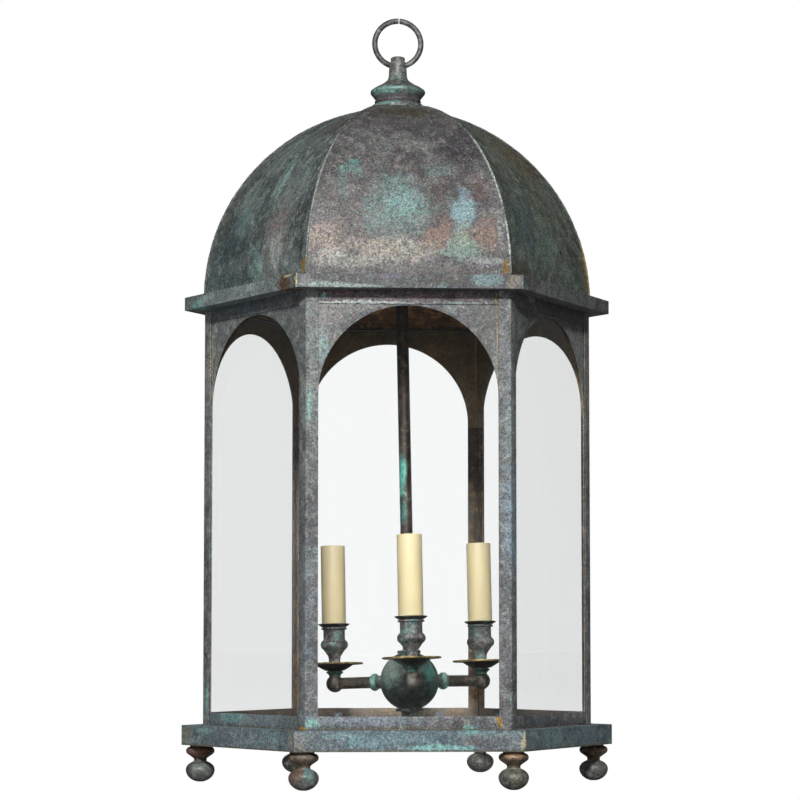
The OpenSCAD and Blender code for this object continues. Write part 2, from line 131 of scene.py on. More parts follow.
def patina(name, base, **own):  # weathered brass: oxide in three tones, verdigris, marks, bands and grit
    look = dict(base, **own)
    material, tree = newMaterial(name)
    add = partial(addNode, tree)
    place = add("TexCoord").outputs["Object"]
    seed = look["seed"]
    shifted = add("VectorMath", (place, (seed * 0.37, seed * 0.11, seed * 0.23)), operation="ADD")
    cloud, mottle, fleck, grain, grit, bloom, speck = (
        add("TexNoise", {"Vector": shifted, "Scale": 1 / (size * mm), "Detail": detail, "Roughness": rough,
            "Distortion": warp})
        for size, detail, rough, warp in (  # lumps of that size in mm
            (look["cloud"], 4.0, 0.6, 0.4), (look["mottle"], 7.0, 0.68, 0.3), (look["mottle"] * 0.4, 5.0, 0.7, 0.0),
            (look["grain"], 2.0, 0.7, 0.0), (look["grain"] * 1.7, 2.0, 0.6, 0.0), (look["bloom"], 6.0, 0.62, 0.8),
            (look["grain"] * 2.2, 2.0, 0.5, 0.0)))

    def amount(*steps):  # soft steps multiplied: what one follows, low, high, and its value below and above them
        whole = None
        for each in steps:
            one = add("MapRange", each, interpolation_type="SMOOTHSTEP") if isinstance(each, tuple) else each
            whole = add("Math", (whole, one), operation="MULTIPLY") if whole else one
        return whole

    def coat(under, tone, *steps):
        return add("Mix", {"Factor": amount(*steps), 6: under, 7: linear(tone)}, data_type="RGBA")

    colour = coat(linear(look["dark"]), look["mid"], (cloud, 0.40, 0.60))
    colour = coat(colour, look["light"], (mottle, 0.46, 0.64, 0.0, look.get("lightShare", 0.8)))
    colour = coat(colour, look["dark"], (fleck, 0.46, 0.36, 0.0, look.get("darkShare", 0.6)))
    if "streakColour" in look:  # runs of rain down the metal
        drawn = add("Mapping", {"Vector": shifted, "Rotation": (0, math.radians(look.get("streakLean", 0)), 0),
                    "Scale": (1, 1, 7.5)}, vector_type="TEXTURE")
        runs = add("TexNoise", {"Vector": drawn, "Scale": 1 / (look["streak"] * mm), "Detail": 5.0,
                   "Roughness": 0.62, "Distortion": 0.2})
        colour = coat(colour, look["streakColour"], (runs, 0.50, 0.66, 0.0, look["streakShare"]))
    colour = coat(colour, look["verdigris"], (bloom, *look["bloomEdge"]), (fleck, 0.40, 0.58))
    broken = amount((fleck, 0.36, 0.52, 0.3, 1.0), (grit, 0.35, 0.52, 0.55, 1.0))
    torn = []  # marks over a least width, the place pushed about for their edges, where they fade out and are full
    for least, size, reach, outer, inner in ((19, 38, 88, 1.45, 0.3), (7, 15, 30, 1.25, 0.55), (0, 5, 8, 1.25, 0.55)):
        swirl = add("TexNoise", {"Vector": shifted, "Scale": 1 / (size * mm), "Detail": 5.0, "Roughness": 0.65})
        push = add("VectorMath", (swirl.outputs["Color"], (0.5, 0.5, 0.5)), operation="SUBTRACT")
        push = add("VectorMath", {0: push, "Scale": reach * mm}, operation="SCALE")
        torn.append((least, add("VectorMath", (place, push), operation="ADD"), outer, inner))
    for x, y, z, across, tall, tone, share, *turn in marks.get(name, []):
        at, outer, inner = next(rest for least, *rest in torn if min(across, tall) > least)
        near = add("Mapping", {"Vector": at, "Location": (x * mm, y * mm, z * mm), "Rotation": (
            0, 0, math.radians(turn[0] if turn else 0)), "Scale": (across * mm, 40 * mm, tall * mm)},
            vector_type="TEXTURE")
        far = add("VectorMath", (near,), operation="LENGTH")
        colour = coat(colour, tone, (far, outer, inner, 0.0, share), *(() if share == 1 else (broken,)))
    for low, high, tone, share in look.get("bands", []):  # level marks between two heights, in mm
        height = add("SeparateXYZ", (torn[-1][1],)).outputs["Z"]
        colour = coat(colour, tone, (height, (low - 0.5) * mm, (low + 0.5) * mm),
                      (height, (high + 0.5) * mm, (high - 0.5) * mm, 0.0, share))
    # Crystals of oxide catch the light one by one, so the metal looks sandy close to
    colour = coat(colour, "#b9b4aa", (grit, 0.62, 0.74, 0.0, look.get("sparkle", 0.45)))
    colour = coat(colour, "#2b2729", (grit, 0.38, 0.28, 0.0, 0.5))
    depth = look["grainDepth"]
    sand = amount((grain, 0.32, 0.68, 1 - depth, 1 + depth), (mottle, 0.3, 0.7, 0.84, 1.16))
    tint = add("VectorMath", (speck.outputs["Color"], (0.4, 0.4, 0.4), (0.8, 0.8, 0.8)), operation="MULTIPLY_ADD")
    colour = add("VectorMath", (colour, tint), operation="MULTIPLY")
    colour = add("VectorMath", {0: colour, "Scale": sand}, operation="SCALE")
    relief = add("Math", (grain, 0.5, mottle), operation="MULTIPLY_ADD")
    bump = add("Bump", {"Height": relief, "Strength": 0.4, "Distance": 0.5 * mm})
    shader = add("BsdfPrincipled", {"Base Color": colour, "Metallic": look["metallic"], "Specular IOR Level":
                 look["specular"], "Roughness": amount((mottle, 0.3, 0.7, *look["roughness"])), "Normal": bump})
    add("OutputMaterial", {"Surface": shader})
    return material


# Marks that sit at one place: x, y, z, width and height in mm, tone, share, and the turn of the face in degrees
marks = {
    "weatheredDomeBrassFront": [
        (0, -94, 696, 80, 30, "#434142", 0.8), (-44, -132, 664, 24, 44, "#6e6f6d", 0.5),
        (2, -128, 662, 34, 12, "#7c7d7b", 0.6), (64, -136, 652, 30, 38, "#343238", 0.85),
        (3, -76, 706, 36, 9, "#4c4535", 0.9), (30, -150, 628, 36, 22, "#56504f", 0.5),
        (-60, -172, 578, 36, 24, "#6b6562", 0.5), (31, -168, 588, 12, 28, "#544a48", 0.8),
        (-4, -167, 588, 30, 32, "#74928e", 0.8), (-2, -165, 594, 14, 12, "#7a9a96", 0.6),
        (-18, -160, 610, 20, 14, "#6f8481", 0.5), (-37, -171, 582, 9, 26, "#728a87", 0.5),
        (-54, -146, 638, 6, 5, "#68968f", 0.8), (-62, -148, 632, 9, 6, "#6c908b", 0.7),
        (-50, -150, 628, 5, 8, "#6b8a86", 0.6), (-66, -158, 615, 6, 24, "#6c8480", 0.5),
        (34, -150, 631, 16, 8, "#6f8581", 0.6), (58, -164, 600, 8, 10, "#778b93", 0.95),
        (57, -169, 587, 16, 12, "#7c9396", 1), (54, -173, 573, 9, 10, "#798f8f", 0.95),
        (74, -161, 606, 12, 17, "#5b4745", 0.7), (27, -177, 556, 16, 12, "#846b5e", 0.7),
        (38, -177, 566, 8, 12, "#7f6a5f", 0.6), (80, -176, 556, 18, 16, "#826c60", 0.75),
        (88, -173, 571, 9, 12, "#7d6860", 0.7), (-84, -176, 554, 24, 20, "#a39489", 0.7),
        (-56, -176, 548, 28, 10, "#8c847c", 0.6), (52, -178, 543, 26, 8, "#768a80", 0.85),
        (54, -178, 551, 16, 7, "#76877c", 0.85), (55, -177, 557, 9, 9, "#7e8a76", 0.8),
        (-66, -179, 532, 40, 7, "#94938d", 0.7), (-78, -179, 540, 14, 5, "#a3a09a", 0.7),
        (-20, -179, 533, 18, 5, "#8f8f8a", 0.6), (-10, -179, 544, 36, 14, "#a39a8d", 0.65),
        (78, -179, 533, 20, 5, "#8a908f", 0.7), (20, -180, 524, 60, 5, "#6c6763", 0.6),
        (99, -179, 527, 5, 8, "#6f5421", 0.95), (94, -174, 565, 4, 22, "#7f8a88", 0.6)],
    "weatheredDomeBrassLeft": [
        (-181, -35, 566, 34, 34, "#34464a", 0.9, -60), (-168, -50, 590, 14, 20, "#6f8d88", 0.6, -60),
        (-160, -56, 604, 36, 30, "#62726f", 0.5, -60), (-155, -89, 541, 12, 24, "#74918c", 0.7, -60),
        (-134, -118, 566, 27, 38, "#877d78", 0.85, -60), (-146, -94, 566, 3, 24, "#443a37", 0.7, -60),
        (-132, -122, 549, 12, 22, "#a3aaa8", 0.75, -60), (-146, -98, 536, 6, 14, "#7fa39c", 0.7, -60),
        (-124, -87, 630, 5, 24, "#89a9a3", 0.9, -60), (-134, -80, 622, 4, 20, "#78948f", 0.7, -60),
        (-106, -176, 528, 4, 9, "#93712f", 1, -60), (-185, -38, 530, 60, 12, "#435654", 0.75, -60),
        (-66, -87, 692, 40, 22, "#4c4740", 0.8, -60), (-190, -20, 600, 12, 40, "#55514d", 0.5, -60),
        # Painted shadow: a thin dark line beside the front-left ridge, where the raised seam shades the gore
        (-109, -167, 549, 3.5, 18, "#3a3b3e", 0.9, -60), (-105, -159, 580, 3.5, 20, "#3c3d40", 0.9, -60),
        (-100, -149, 609, 3.5, 18, "#404144", 0.85, -60), (-92, -138, 633, 3.5, 16, "#46484a", 0.8, -60)],
    "weatheredDomeBrassRight": [
        (123, -45, 668, 52, 32, "#62563f", 0.85, 60), (148, -60, 618, 26, 30, "#5c6250", 0.6, 60),
        (118, -137, 582, 22, 42, "#4d6062", 0.8, 60), (149, -95, 557, 30, 30, "#6d8277", 0.6, 60),
        (115, -159, 526, 28, 15, "#4c453a", 0.8, 60), (170, -56, 560, 4, 4, "#2c2a28", 0.9, 60),
        (203, -3, 546, 6, 34, "#86723f", 0.8, 60), (128, -100, 600, 10, 30, "#566a69", 0.5, 60)],
    "weatheredSheetBrass": [
        (-154, -89, 400, 130, 130, "#86908b", 0.65, -60), (-86, -178, 448, 7, 20, "#93aaa4", 0.7),
        (-128, -134, 450, 8, 30, "#94a099", 0.6, -60), (154, -89, 440, 130, 90, "#69706c", 0.6, 60),
        (104, -180, 300, 10, 130, "#8a9799", 0.6), (104, -180, 270, 8, 60, "#7c90a0", 0.6),
        (-104, -180, 180, 10, 90, "#6d7880", 0.5), (-79, -178, 478, 16, 26, "#817e7a", 0.75),
        (80, -178, 470, 14, 34, "#5b5a55", 0.6), (-40, -178, 488, 40, 10, "#82827e", 0.6),
        (89.8, -178, 445, 0.7, 55, "#97824f", 0.7), (-100, -180, 386, 2.6, 18, "#86ada6", 0.85),
        (-104, -180, 425, 4, 15, "#4c4a49", 0.75), (-104, -180, 350, 4, 11, "#4f4c4b", 0.7),
        (-106, -180, 61.5, 3.5, 2, "#b08a2e", 1), (-111, -167, 66, 4, 7, "#5e4230", 0.9, -60),
        (-96, -180, 67, 8, 6, "#8dc0b6", 0.9), (-91, -180, 72, 0.8, 8, "#c9cfca", 0.8),
        (-108, -172, 72, 0.8, 5, "#c4c8c2", 0.8, -60), (91.5, -180, 67, 2.6, 7, "#b08a2e", 0.95),
        (-200, -11, 443, 0.8, 36, "#c0b07a", 0.8, -60), (-201, -9, 484, 0.8, 7, "#2e2c2c", 0.8, -60),
        (0, -178, 62, 90, 1.6, "#6d675c", 0.7), (205, -3, 420, 3, 110, "#a08a52", 0.5, 60),
        (-176, -52, 70, 24, 7, "#7fc0b6", 0.8, -60), (-203, -8, 90, 3, 20, "#7fb5ac", 0.9, -60),
        (-154, -89, 69, 130, 12, "#7d949a", 0.6, -60), (-120, -149, 68, 20, 5, "#5f6468", 0.6, -60),
        (-40, -178, 68, 50, 6, "#8795a0", 0.6), (62, -178, 62, 8, 2.2, "#7fb5ad", 0.9),
        (-203, -7, 66, 1.5, 7, "#a08f74", 0.9, -60), (150, -115, 68, 30, 8, "#56676c", 0.7, 60)],
    # On the strip the violet band along the top of the front and the darker right faces are painted shade under the
    # cornice; the pale lines along its lower edge are crust with a painted highlight where that edge catches the
    # light
    "weatheredStripBrass": [
        (128, -134, 501.3, 14, 0.9, "#aebcbc", 1, 60), (141, -112, 500, 6, 0.9, "#93a5a5", 0.8, 60),
        (-60, -179, 501, 60, 2, "#6a4a36", 0.7), (-154, -89, 495, 130, 30, "#66737a", 0.8, -60),
        (154, -89, 495, 130, 30, "#545d5c", 0.8, 60), (0, -179, 498, 110, 8, "#6a6268", 0.6),
        (-50, -179, 489.6, 60, 1.6, "#a9b2ac", 1), (-86, -179, 497, 3, 3, "#7fa9a4", 0.9),
        (130, -132, 499, 9, 3, "#a7aca6", 0.7, 60), (-113, -160, 495, 8, 4, "#5a4335", 0.8, -60),
        (-170, -62, 498, 50, 6, "#66757c", 0.8, -60), (-160, -80, 489.2, 60, 1, "#9aa5a6", 0.8, -60),
        (50, -179, 489.6, 40, 1.6, "#8f9a98", 0.8), (89, -179, 495, 1, 9, "#97824f", 0.9)],
    "weatheredCorniceBrass": [
        (-172, -99, 508, 110, 40, "#8d9b99", 0.8, -60), (-190, -69, 509, 16, 6, "#565d5e", 0.6, -60),
        (-160, -121, 511, 12, 4, "#a3b5b0", 0.7, -60), (-206, -41, 511, 12, 4, "#9db3ad", 0.7, -60),
        (172, -99, 508, 100, 40, "#6f7471", 0.6, 60), (-82, -198, 505, 30, 3, "#93a09b", 0.9),
        (-50, -198, 504, 26, 2, "#939e9a", 0.8), (78, -198, 511, 18, 7, "#70898b", 0.85),
        (105, -198, 510, 7, 8, "#827a6e", 0.8), (-23, -198, 514.5, 20, 3, "#726f7c", 0.7),
        (38, -198, 511, 18, 5, "#56504b", 0.6), (-126, -178, 508.6, 13, 9, "#584536", 1, -60),
        (-122, -186, 515.2, 9, 1.3, "#c4b892", 1, -60), (-114.6, -198, 509, 1, 8, "#b5a57c", 1),
        (-216, -24, 505, 15, 8, "#76a39e", 0.85, -60), (-180, -84, 510, 30, 7, "#7f8789", 0.75, -60),
        (-145, -147, 508, 18, 5, "#6c6e74", 0.5, -60), (-104, -198, 510, 7, 6, "#808180", 0.7),
        (170, -103, 509, 45, 7, "#565c58", 0.6, 60)],
    "weatheredBaseBrass": [
        (-40, -198, 50, 26, 8, "#7795a0", 0.7), (10, -198, 50, 26, 8, "#728d8f", 0.5),
        (62, -190, 60, 9, 3, "#83c0b6", 0.9), (62, -198, 57, 13, 2.6, "#7fb2ab", 0.9),
        (32, -198, 43, 34, 3.4, "#86b6b4", 0.85), (82, -198, 49, 30, 8, "#716e73", 0.75),
        (-70, -198, 54, 18, 3, "#8fb0ae", 0.6), (98, -198, 56, 18, 3, "#8f9a9a", 0.6),
        (-16, -198, 46, 20, 3, "#5e6a72", 0.5), (66, -198, 50, 10, 6, "#6b5f5c", 0.6),
        (114.2, -198, 51, 1.8, 8, "#b3a789", 1), (113, -198, 46, 3.6, 5, "#b3a789", 1),
        (-113, -198, 50, 2.4, 9, "#938f82", 0.9), (-108, -198, 43.5, 5, 3, "#8b8776", 0.8),
        (-95, -198, 52, 14, 5, "#5f6266", 0.6), (-107, -198, 50, 7, 11, "#858279", 0.6),
        (-118, -193, 48, 5, 10, "#9d9486", 0.7, -60), (-223, -9, 49, 8, 12, "#8c8664", 0.95, -60),
        (-96, -198, 50, 10, 8, "#6a6e72", 0.6), (-172, -99, 50, 110, 30, "#84949a", 0.7, -60),
        (-190, -66, 50, 30, 8, "#56616a", 0.5, -60), (-205, -40, 55, 20, 3, "#7fb0a6", 0.6, -60),
        (172, -99, 50, 110, 30, "#6d8288", 0.8, 60), (150, -139, 52, 30, 9, "#7f9c98", 0.5, 60),
        (165, -113, 48, 5, 3, "#4d4238", 0.8, 60), (125, -182, 56, 12, 3, "#9aa8a2", 0.8, 60),
        (0, -185, 59.6, 110, 14, "#71848a", 0.6), (32, -198, 42, 36, 2.2, "#86b4b2", 0.8)],
    "olivePlateBackBrass": [
        (-92, 158, 300, 26, 220, "#80776d", 0.85, 60), (40, 178, 478, 50, 8, "#b08f5c", 0.7),
        (-30, 178, 478, 40, 14, "#6e6a50", 0.7), (70, 178, 450, 20, 26, "#5c4330", 0.7),
        (-60, 178, 455, 16, 20, "#5c4330", 0.7), (84, 178, 420, 6, 60, "#8d7e58", 0.7)],
    "darkCastBrass": [
        # On the hub: a painted highlight on its upper left, the front drip pan's painted shadow on its top, painted
        # shade on its lower part and a painted glint on its front; the teal patches are verdigris
        (-12, -36, 117, 12, 15, "#6f7f76", 0.9), (2, -38, 116, 5, 12, "#3a3732", 0.8),
        (14, -36, 121, 11, 5, "#5c8580", 0.9), (30, -24, 116, 8, 10, "#4f9289", 0.9),
        (33, -20, 100, 5, 14, "#4c857d", 0.7), (14, -33, 84, 34, 12, "#24241f", 0.85),
        (-14, -36, 92, 14, 10, "#2f302b", 0.7), (14, -43, 105, 9, 9, "#7b7771", 0.9),
        (12, -44, 107, 4, 4, "#97938c", 0.8)],
    "brownCastBrass": [
        # Painted glint: a pale patch with a brighter core on the front elbow
        (8, -98, 105, 9, 9, "#7d7972", 1), (6, -98, 107, 4, 4, "#a29c96", 0.8)],
    "greyTurnedFootBrass": [
        (-114, -178, 18, 10, 14, "#7a5a4b", 0.8), (-100, -180, 20, 6, 12, "#6f9a96", 0.8),
        (-106, -180, 26, 12, 1.2, "#a79a80", 0.8), (104, -180, 15, 16, 10, "#7e7d6c", 0.6),
        (110, -180, 24, 8, 5, "#98938a", 0.7), (-212, -10, 16, 12, 14, "#76807a", 0.6, -60)],
    "brownTurnedFootBrass": [
        (-210, -8, 34, 14, 7, "#7b4f43", 0.8, -60), (104, -180, 35, 14, 4, "#a98a6c", 0.8),
        (-106, -180, 34, 12, 5, "#6f665d", 0.7)],
    "greyTurnedBrass": [
        (-16, -24, 740, 16, 5, "#84b3aa", 0.9), (14, -26, 741, 18, 4, "#7d9f98", 0.7),
        (-12, -22, 726, 14, 2.6, "#84ada5", 0.9)],
    "brownTubeBrass": [
        (3, -6, 328, 5, 20, "#5fb0a2", 0.9), (0, -6, 306, 6, 6, "#6cc0b2", 0.9),
        (3, -6, 285, 6, 14, "#4f8a80", 0.7)],
    # The front ridges' beads are lighter, the front-right one most: pale solder and a painted highlight along the
    # bead
    "oldSeamSolder": [
        (203, -3, 546, 6, 34, "#8f7a42", 0.8, 60), (-85, -147, 600, 50, 110, "#9a9d99", 0.9),
        (85, -147, 600, 50, 110, "#b4bab4", 0.95), (100, -170, 555, 12, 24, "#b9c4bd", 0.9)],
}

# Sheet brass left to weather: grey-violet oxide with verdigris, dull and sandy to the eye
domeLook = {"dark": "#535051", "mid": "#666464", "light": "#807e7b", "verdigris": "#6f8a86", "cloud": 45,
            "mottle": 12, "grain": 1.9, "grainDepth": 0.46, "bloom": 42, "bloomEdge": (0.58, 0.70), "streak": 9,
            "streakColour": "#5a6060", "streakShare": 0.3, "lightShare": 0.6, "darkShare": 0.35,
            "roughness": (0.5, 0.72), "metallic": 0.2, "specular": 0.25, "seed": 3.0}
# The front gore is the greyest, the left one greener, the right one olive and darker, partly as painted shade on the
# side away from the key lamp; the gores behind bloom more
domeBrass = {
    1: patina("weatheredDomeBrassFront", domeLook),
    6: patina("weatheredDomeBrassLeft", domeLook, mid="#68706e", light="#838e8b", dark="#4e5352", streakLean=34,
              streakColour="#7d8d8a", streakShare=0.5, seed=5.0),
    2: patina("weatheredDomeBrassRight", domeLook, mid="#5f655f", light="#767d74", dark="#4b4f49", streakLean=-18,
              streakColour="#66736b", streakShare=0.5, seed=8.0),
    0: patina("weatheredDomeBrass", domeLook, bloomEdge=(0.5, 0.64), seed=13.0),
}
sheetLook = {"dark": "#5a5a5c", "mid": "#717274", "light": "#8d8d8b", "verdigris": "#7f9d99", "cloud": 55,
             "mottle": 10, "grain": 1.8, "grainDepth": 0.42, "bloom": 34, "bloomEdge": (0.58, 0.72), "streak": 7,
             "streakColour": "#5f6768", "streakShare": 0.4, "lightShare": 0.7, "darkShare": 0.45,
             "roughness": (0.5, 0.75), "metallic": 0.2, "specular": 0.25, "seed": 11.0}
# Posts and plates: pale grey oxide over violet, with thin runs
sheetBrass = patina("weatheredSheetBrass", sheetLook)
# Under the cornice: violet-brown and darker than the plates, partly painted shade of the cornice's overhang, and
# without runs
stripBrass = patina("weatheredStripBrass", sheetLook, dark="#4b4346", mid="#686062", light="#827a7a",
                    streakShare=0.0, seed=17.0)
# Darker grey, worn to bare brass at its corners
corniceBrass = patina("weatheredCorniceBrass", sheetLook, dark="#4e4e50", mid="#656567", light="#7a7a79", seed=19.0)
# Blue-grey, green where water stands, dull brown along the lower lip
baseBrass = patina("weatheredBaseBrass", sheetLook, dark="#4b555b", mid="#68737a", light="#8a9797",
                   verdigris="#7ca6a2", bloomEdge=(0.54, 0.68), bands=[(37.5, 40.6, "#62604f", 0.7)], seed=21.0)
# Inside the lantern rain never reached the brass, so it went brown and stays smoother
insideLook = {"dark": "#2a2018", "mid": "#413124", "light": "#5c4b36", "verdigris": "#5f6750", "cloud": 55,
              "mottle": 12, "grain": 1.6, "grainDepth": 0.2, "bloom": 40, "bloomEdge": (0.58, 0.72),
              "roughness": (0.45, 0.65), "metallic": 0.2, "specular": 0.25, "sparkle": 0.25, "seed": 31.0}
# Channels and backs of posts: dark brown with hardly any green
insideBrass = patina("brownInsideBrass", insideLook)
# Backs of the plates: olive low down, warm tan round the arches
insideSheetBrass = patina("olivePlateBackBrass", insideLook, verdigris="#8c6a40", bloomEdge=(0.50, 0.62), seed=33.0,
                          bands=[(30, 82, "#5f554a", 0.7), (392, 520, "#a8906a", 0.55)])
# Inside of the dome: raw golden sheet with brown runs
insideDomeBrass = patina("rawDomeBackBrass", insideLook, dark="#86613f", mid="#b88a58", light="#d6ab6e",
                         verdigris="#7d6a44", streak=3, streakLean=90, streakColour="#5f4128", streakShare=0.8,
                         seed=35.0)
# Cast and turned brass keeps a denser, darker oxide
castLook = {"dark": "#2b2c2a", "mid": "#444743", "light": "#63675f", "verdigris": "#5f8f86", "cloud": 30,
            "mottle": 7, "grain": 1.2, "grainDepth": 0.25, "bloom": 20, "bloomEdge": (0.55, 0.70),
            "roughness": (0.4, 0.62), "metallic": 0.3, "specular": 0.35, "seed": 41.0}
# Near black with green patches; its pale patches are painted highlights, its darkest ones painted shade and the front
# pan's painted shadow
hubBrass = patina("darkCastBrass", castLook, dark="#272b29", mid="#414a47", light="#606b66", streak=6,
                  streakColour="#56807a", streakShare=0.35)
# Dark brown and dull
armBrass = patina("brownCastBrass", castLook, dark="#211d19", mid="#38322c", light="#5c564c", verdigris="#566e64",
                  seed=43.0)
# Green all over, as small collars go
collarBrass = patina("greenTurnedBrass", castLook, dark="#32483f", mid="#526f67", light="#7f9c95", seed=45.0)
# Violet-grey with specks of verdigris
cupBrass = patina("violetTurnedBrass", castLook, dark="#2b2627", mid="#4f4a4b", light="#827e7d", verdigris="#587d76",
                  darkShare=0.8, lightShare=0.9, grain=1.0, grainDepth=0.4, bloom=16, mottle=5,
                  bloomEdge=(0.49, 0.56), bands=[(149, 166, "#3a3d3c", 0.35), (131, 146, "#86908c", 0.2)], seed=47.0)
# Almost black, a thin dark line under each sleeve
flangeBrass = patina("blackTurnedBrass", castLook, dark="#1c1b1a", mid="#2a2927", light="#45443f", seed=49.0)
# Grey balls with brown and olive spots
footBrass = patina("greyTurnedFootBrass", castLook, dark="#474644", mid="#696a67", light="#8d8d88",
                   verdigris="#7f9c95", seed=51.0)
# Browner, because the neck of a foot is sheltered
knobBrass = patina("brownTurnedFootBrass", castLook, dark="#43372f", mid="#66584c", light="#94826f",
                   verdigris="#7f9c90", bloomEdge=(0.58, 0.72), seed=53.0)
# Mid grey with verdigris in its hollows
finialBrass = patina("greyTurnedBrass", castLook, dark="#4b4d49", mid="#6a6d68", light="#8b8f88",
                     verdigris="#7ba19a", bloomEdge=(0.54, 0.68), bands=[(727.5, 737, "#5f5a60", 0.7)], seed=61.0)
# Grey rod, handled, so with little verdigris
ringBrass = patina("greyBentBrass", castLook, dark="#3b3b39", mid="#5f605d", light="#85878a", seed=63.0)
# Dark brown tube with a few bright green runs
stemBrass = patina("brownTubeBrass", castLook, dark="#201915", mid="#352a22", light="#50443a", verdigris="#6d8a7e",
                   bloomEdge=(0.60, 0.72), seed=71.0)
# Rubbed golden on top
panBrass = patina("rubbedPanBrass", castLook, dark="#5c5034", mid="#8d7a4a", light="#b39d66", verdigris="#7f946c",
                  bloomEdge=(0.60, 0.74), roughness=(0.35, 0.5), metallic=0.5, seed=81.0)
# Plain brass gone dull, out of sight
nutBrass = patina("dullPlainBrass", castLook, dark="#54462a", mid="#7f6b3e", light="#a08a55", verdigris="#6f7f5a",
                  bloomEdge=(0.62, 0.75), roughness=(0.3, 0.5), metallic=0.6, seed=91.0)
# Solder bead, paler than the sheet that it joins
seamSolder = patina("oldSeamSolder", sheetLook, dark="#4d504f", mid="#636663", light="#7f827c", verdigris="#8fb0a6",
                    mottle=4, cloud=16, seed=101.0)
# The same with dirt in it
jointSolder = patina("dirtyJointSolder", sheetLook, dark="#4b443a", mid="#6f6657", light="#948b7a",
                     verdigris="#8fb0a6", mottle=4, cloud=20, streakShare=0.0, seed=103.0)
# Tinned tabs, bluish and dull
clipMetal = patina("tinnedClip", sheetLook, dark="#4e5663", mid="#727c8b", light="#929ba6", verdigris="#7f9aa0",
                   mottle=4, cloud=14, metallic=0.4, bands=[(200, 520, "#54483a", 0.9)], seed=111.0)


def clearGlass():
    # Drawn window glass: clear and glossy, and lamps shine through it
    material, tree = newMaterial("clearWindowGlass")
    add = partial(addNode, tree)
    pane = add("BsdfPrincipled", {"Base Color": linear("#fdfefe"), "Roughness": 0.0, "IOR": 1.45,
               "Transmission Weight": 1.0})
    through = add("BsdfTransparent", {"Color": linear("#f3f4f4")})
    shown = add("MixShader", (add("LightPath").outputs["Is Shadow Ray"], pane, through))
    add("OutputMaterial", {"Surface": shown})
    return material


def twoTone(name, size, detail, one, two, fine=None, **shine):  # soft lumps of two close tones
    material, tree = newMaterial(name)
    add = partial(addNode, tree)
    place = add("TexCoord").outputs["Object"]
    lumps = add("TexNoise", {"Vector": place, "Scale": 1 / (size * mm), "Detail": detail})
    colour = add("Mix", {"Factor": lumps, 6: linear(one), 7: linear(two)}, data_type="RGBA")
    if fine:
        grain = add("TexNoise", {"Vector": place, "Scale": 1 / (fine * mm), "Detail": 2.0})
        shine["Normal"] = add("Bump", {"Height": grain, "Strength": 0.08, "Distance": 0.2 * mm})
    add("OutputMaterial", {"Surface": add("BsdfPrincipled", {"Base Color": colour, **shine})})
    return material


glass = clearGlass()
# Coated card tube, matte and warm
sleeveCard = twoTone("creamCardSleeve", 30, 4.0, "#b7a882", "#c2b490", 0.8, **{
    "Roughness": 0.45, "Subsurface Weight": 0.15, "Subsurface Radius": (0.004, 0.003, 0.001)})
# Moulded urea plastic
holderPlastic = twoTone("mouldedHolderPlastic", 6, 3.0, "#cfc8b4", "#ddd6c4", Roughness=0.4)
print("materials made")


def rounded(points, radius, steps=3, closed=False):  # takes the sharp turns off an outline of (r, z) points
    out, count = [], len(points)
    for i, here in enumerate(points):
        if not closed and i in (0, count - 1):
            out.append(here)
            continue
        p, a, b = Vector(here), Vector(points[i - 1]), Vector(points[(i + 1) % count])
        toA, toB = a - p, b - p
        turn = math.degrees(toA.angle(toB)) if toA.length > 1e-6 and toB.length > 1e-6 else 180
        if turn > 150:
            out.append(here)
            continue
        reach = min(radius, toA.length * 0.45, toB.length * 0.45)
        start, end = p + toA.normalized() * reach, p + toB.normalized() * reach
        for s in range(steps + 1):
            t = s / steps
            q = start * (1 - t) ** 2 + p * 2 * t * (1 - t) + end * t ** 2
            out.append((q.x, q.y))
    return out


def arc(x, y, rx, ry, start, end, steps):
    turns = [math.radians(start + (end - start) * i / steps) for i in range(steps + 1)]
    return [(x + rx * math.cos(a), y + ry * math.sin(a)) for a in turns]


def turned(shape, outline, place=Matrix(), sides=64, closed=False, ink=0):  # spins (r, z) points about Z
    rings = []
    for r, z in outline:
        spots = [Vector((0, 0, z))] if r < 1e-4 else [Vector((*polar(r, a), z)) for a in around(sides)]
        rings.append([shape.verts.new(place @ spot) for spot in spots])
    for low, high in list(zip(rings, rings[1:])) + ([(rings[-1], rings[0])] if closed else []):
        for i in range(sides):
            j = (i + 1) % sides
            corners = [low[i % len(low)], low[j % len(low)], high[j % len(high)], high[i % len(high)]]
            loop = list(dict.fromkeys(corners))
            if len(loop) > 2:
                shape.faces.new(loop).material_index = ink


def bridged(shape, one, two):  # quads between two closed loops
    for i in range(len(one)):
        j = (i + 1) % len(one)
        shape.faces.new([one[i], one[j], two[j], two[i]])


def walled(shape, front, back, quads):  # a sheet from two matching sets of points
    fronts = [shape.verts.new(p) for p in front]
    backs = [shape.verts.new(p) for p in back]
    skin = [shape.faces.new([fronts[i] for i in quad]) for quad in quads]
    for quad in quads:
        shape.faces.new([backs[i] for i in reversed(quad)])
    pair = dict(zip(fronts, backs))
    for edge in [e for f in skin for e in f.edges if len(e.link_faces) == 1]:
        a, b = edge.verts
        shape.faces.new([b, a, pair[a], pair[b]])


def bevelled(shape, edges, width, steps=2, clamp=False):
    bmesh.ops.bevel(shape, geom=edges, offset=width, offset_type="OFFSET", segments=steps, profile=0.5,
                    affect="EDGES", clamp_overlap=clamp)


def sharpEdges(shape, over):  # edges that turn by more than so many degrees
    return [e for e in shape.edges if len(e.link_faces) == 2 and e.calc_face_angle(0) > math.radians(over)]


def looksOut(face):  # 1 on a face that looks away from the lantern's axis, -1 on one that looks at it
    middle = face.calc_center_median()
    return face.normal.dot(Vector((middle.x, middle.y, 0)).normalized())


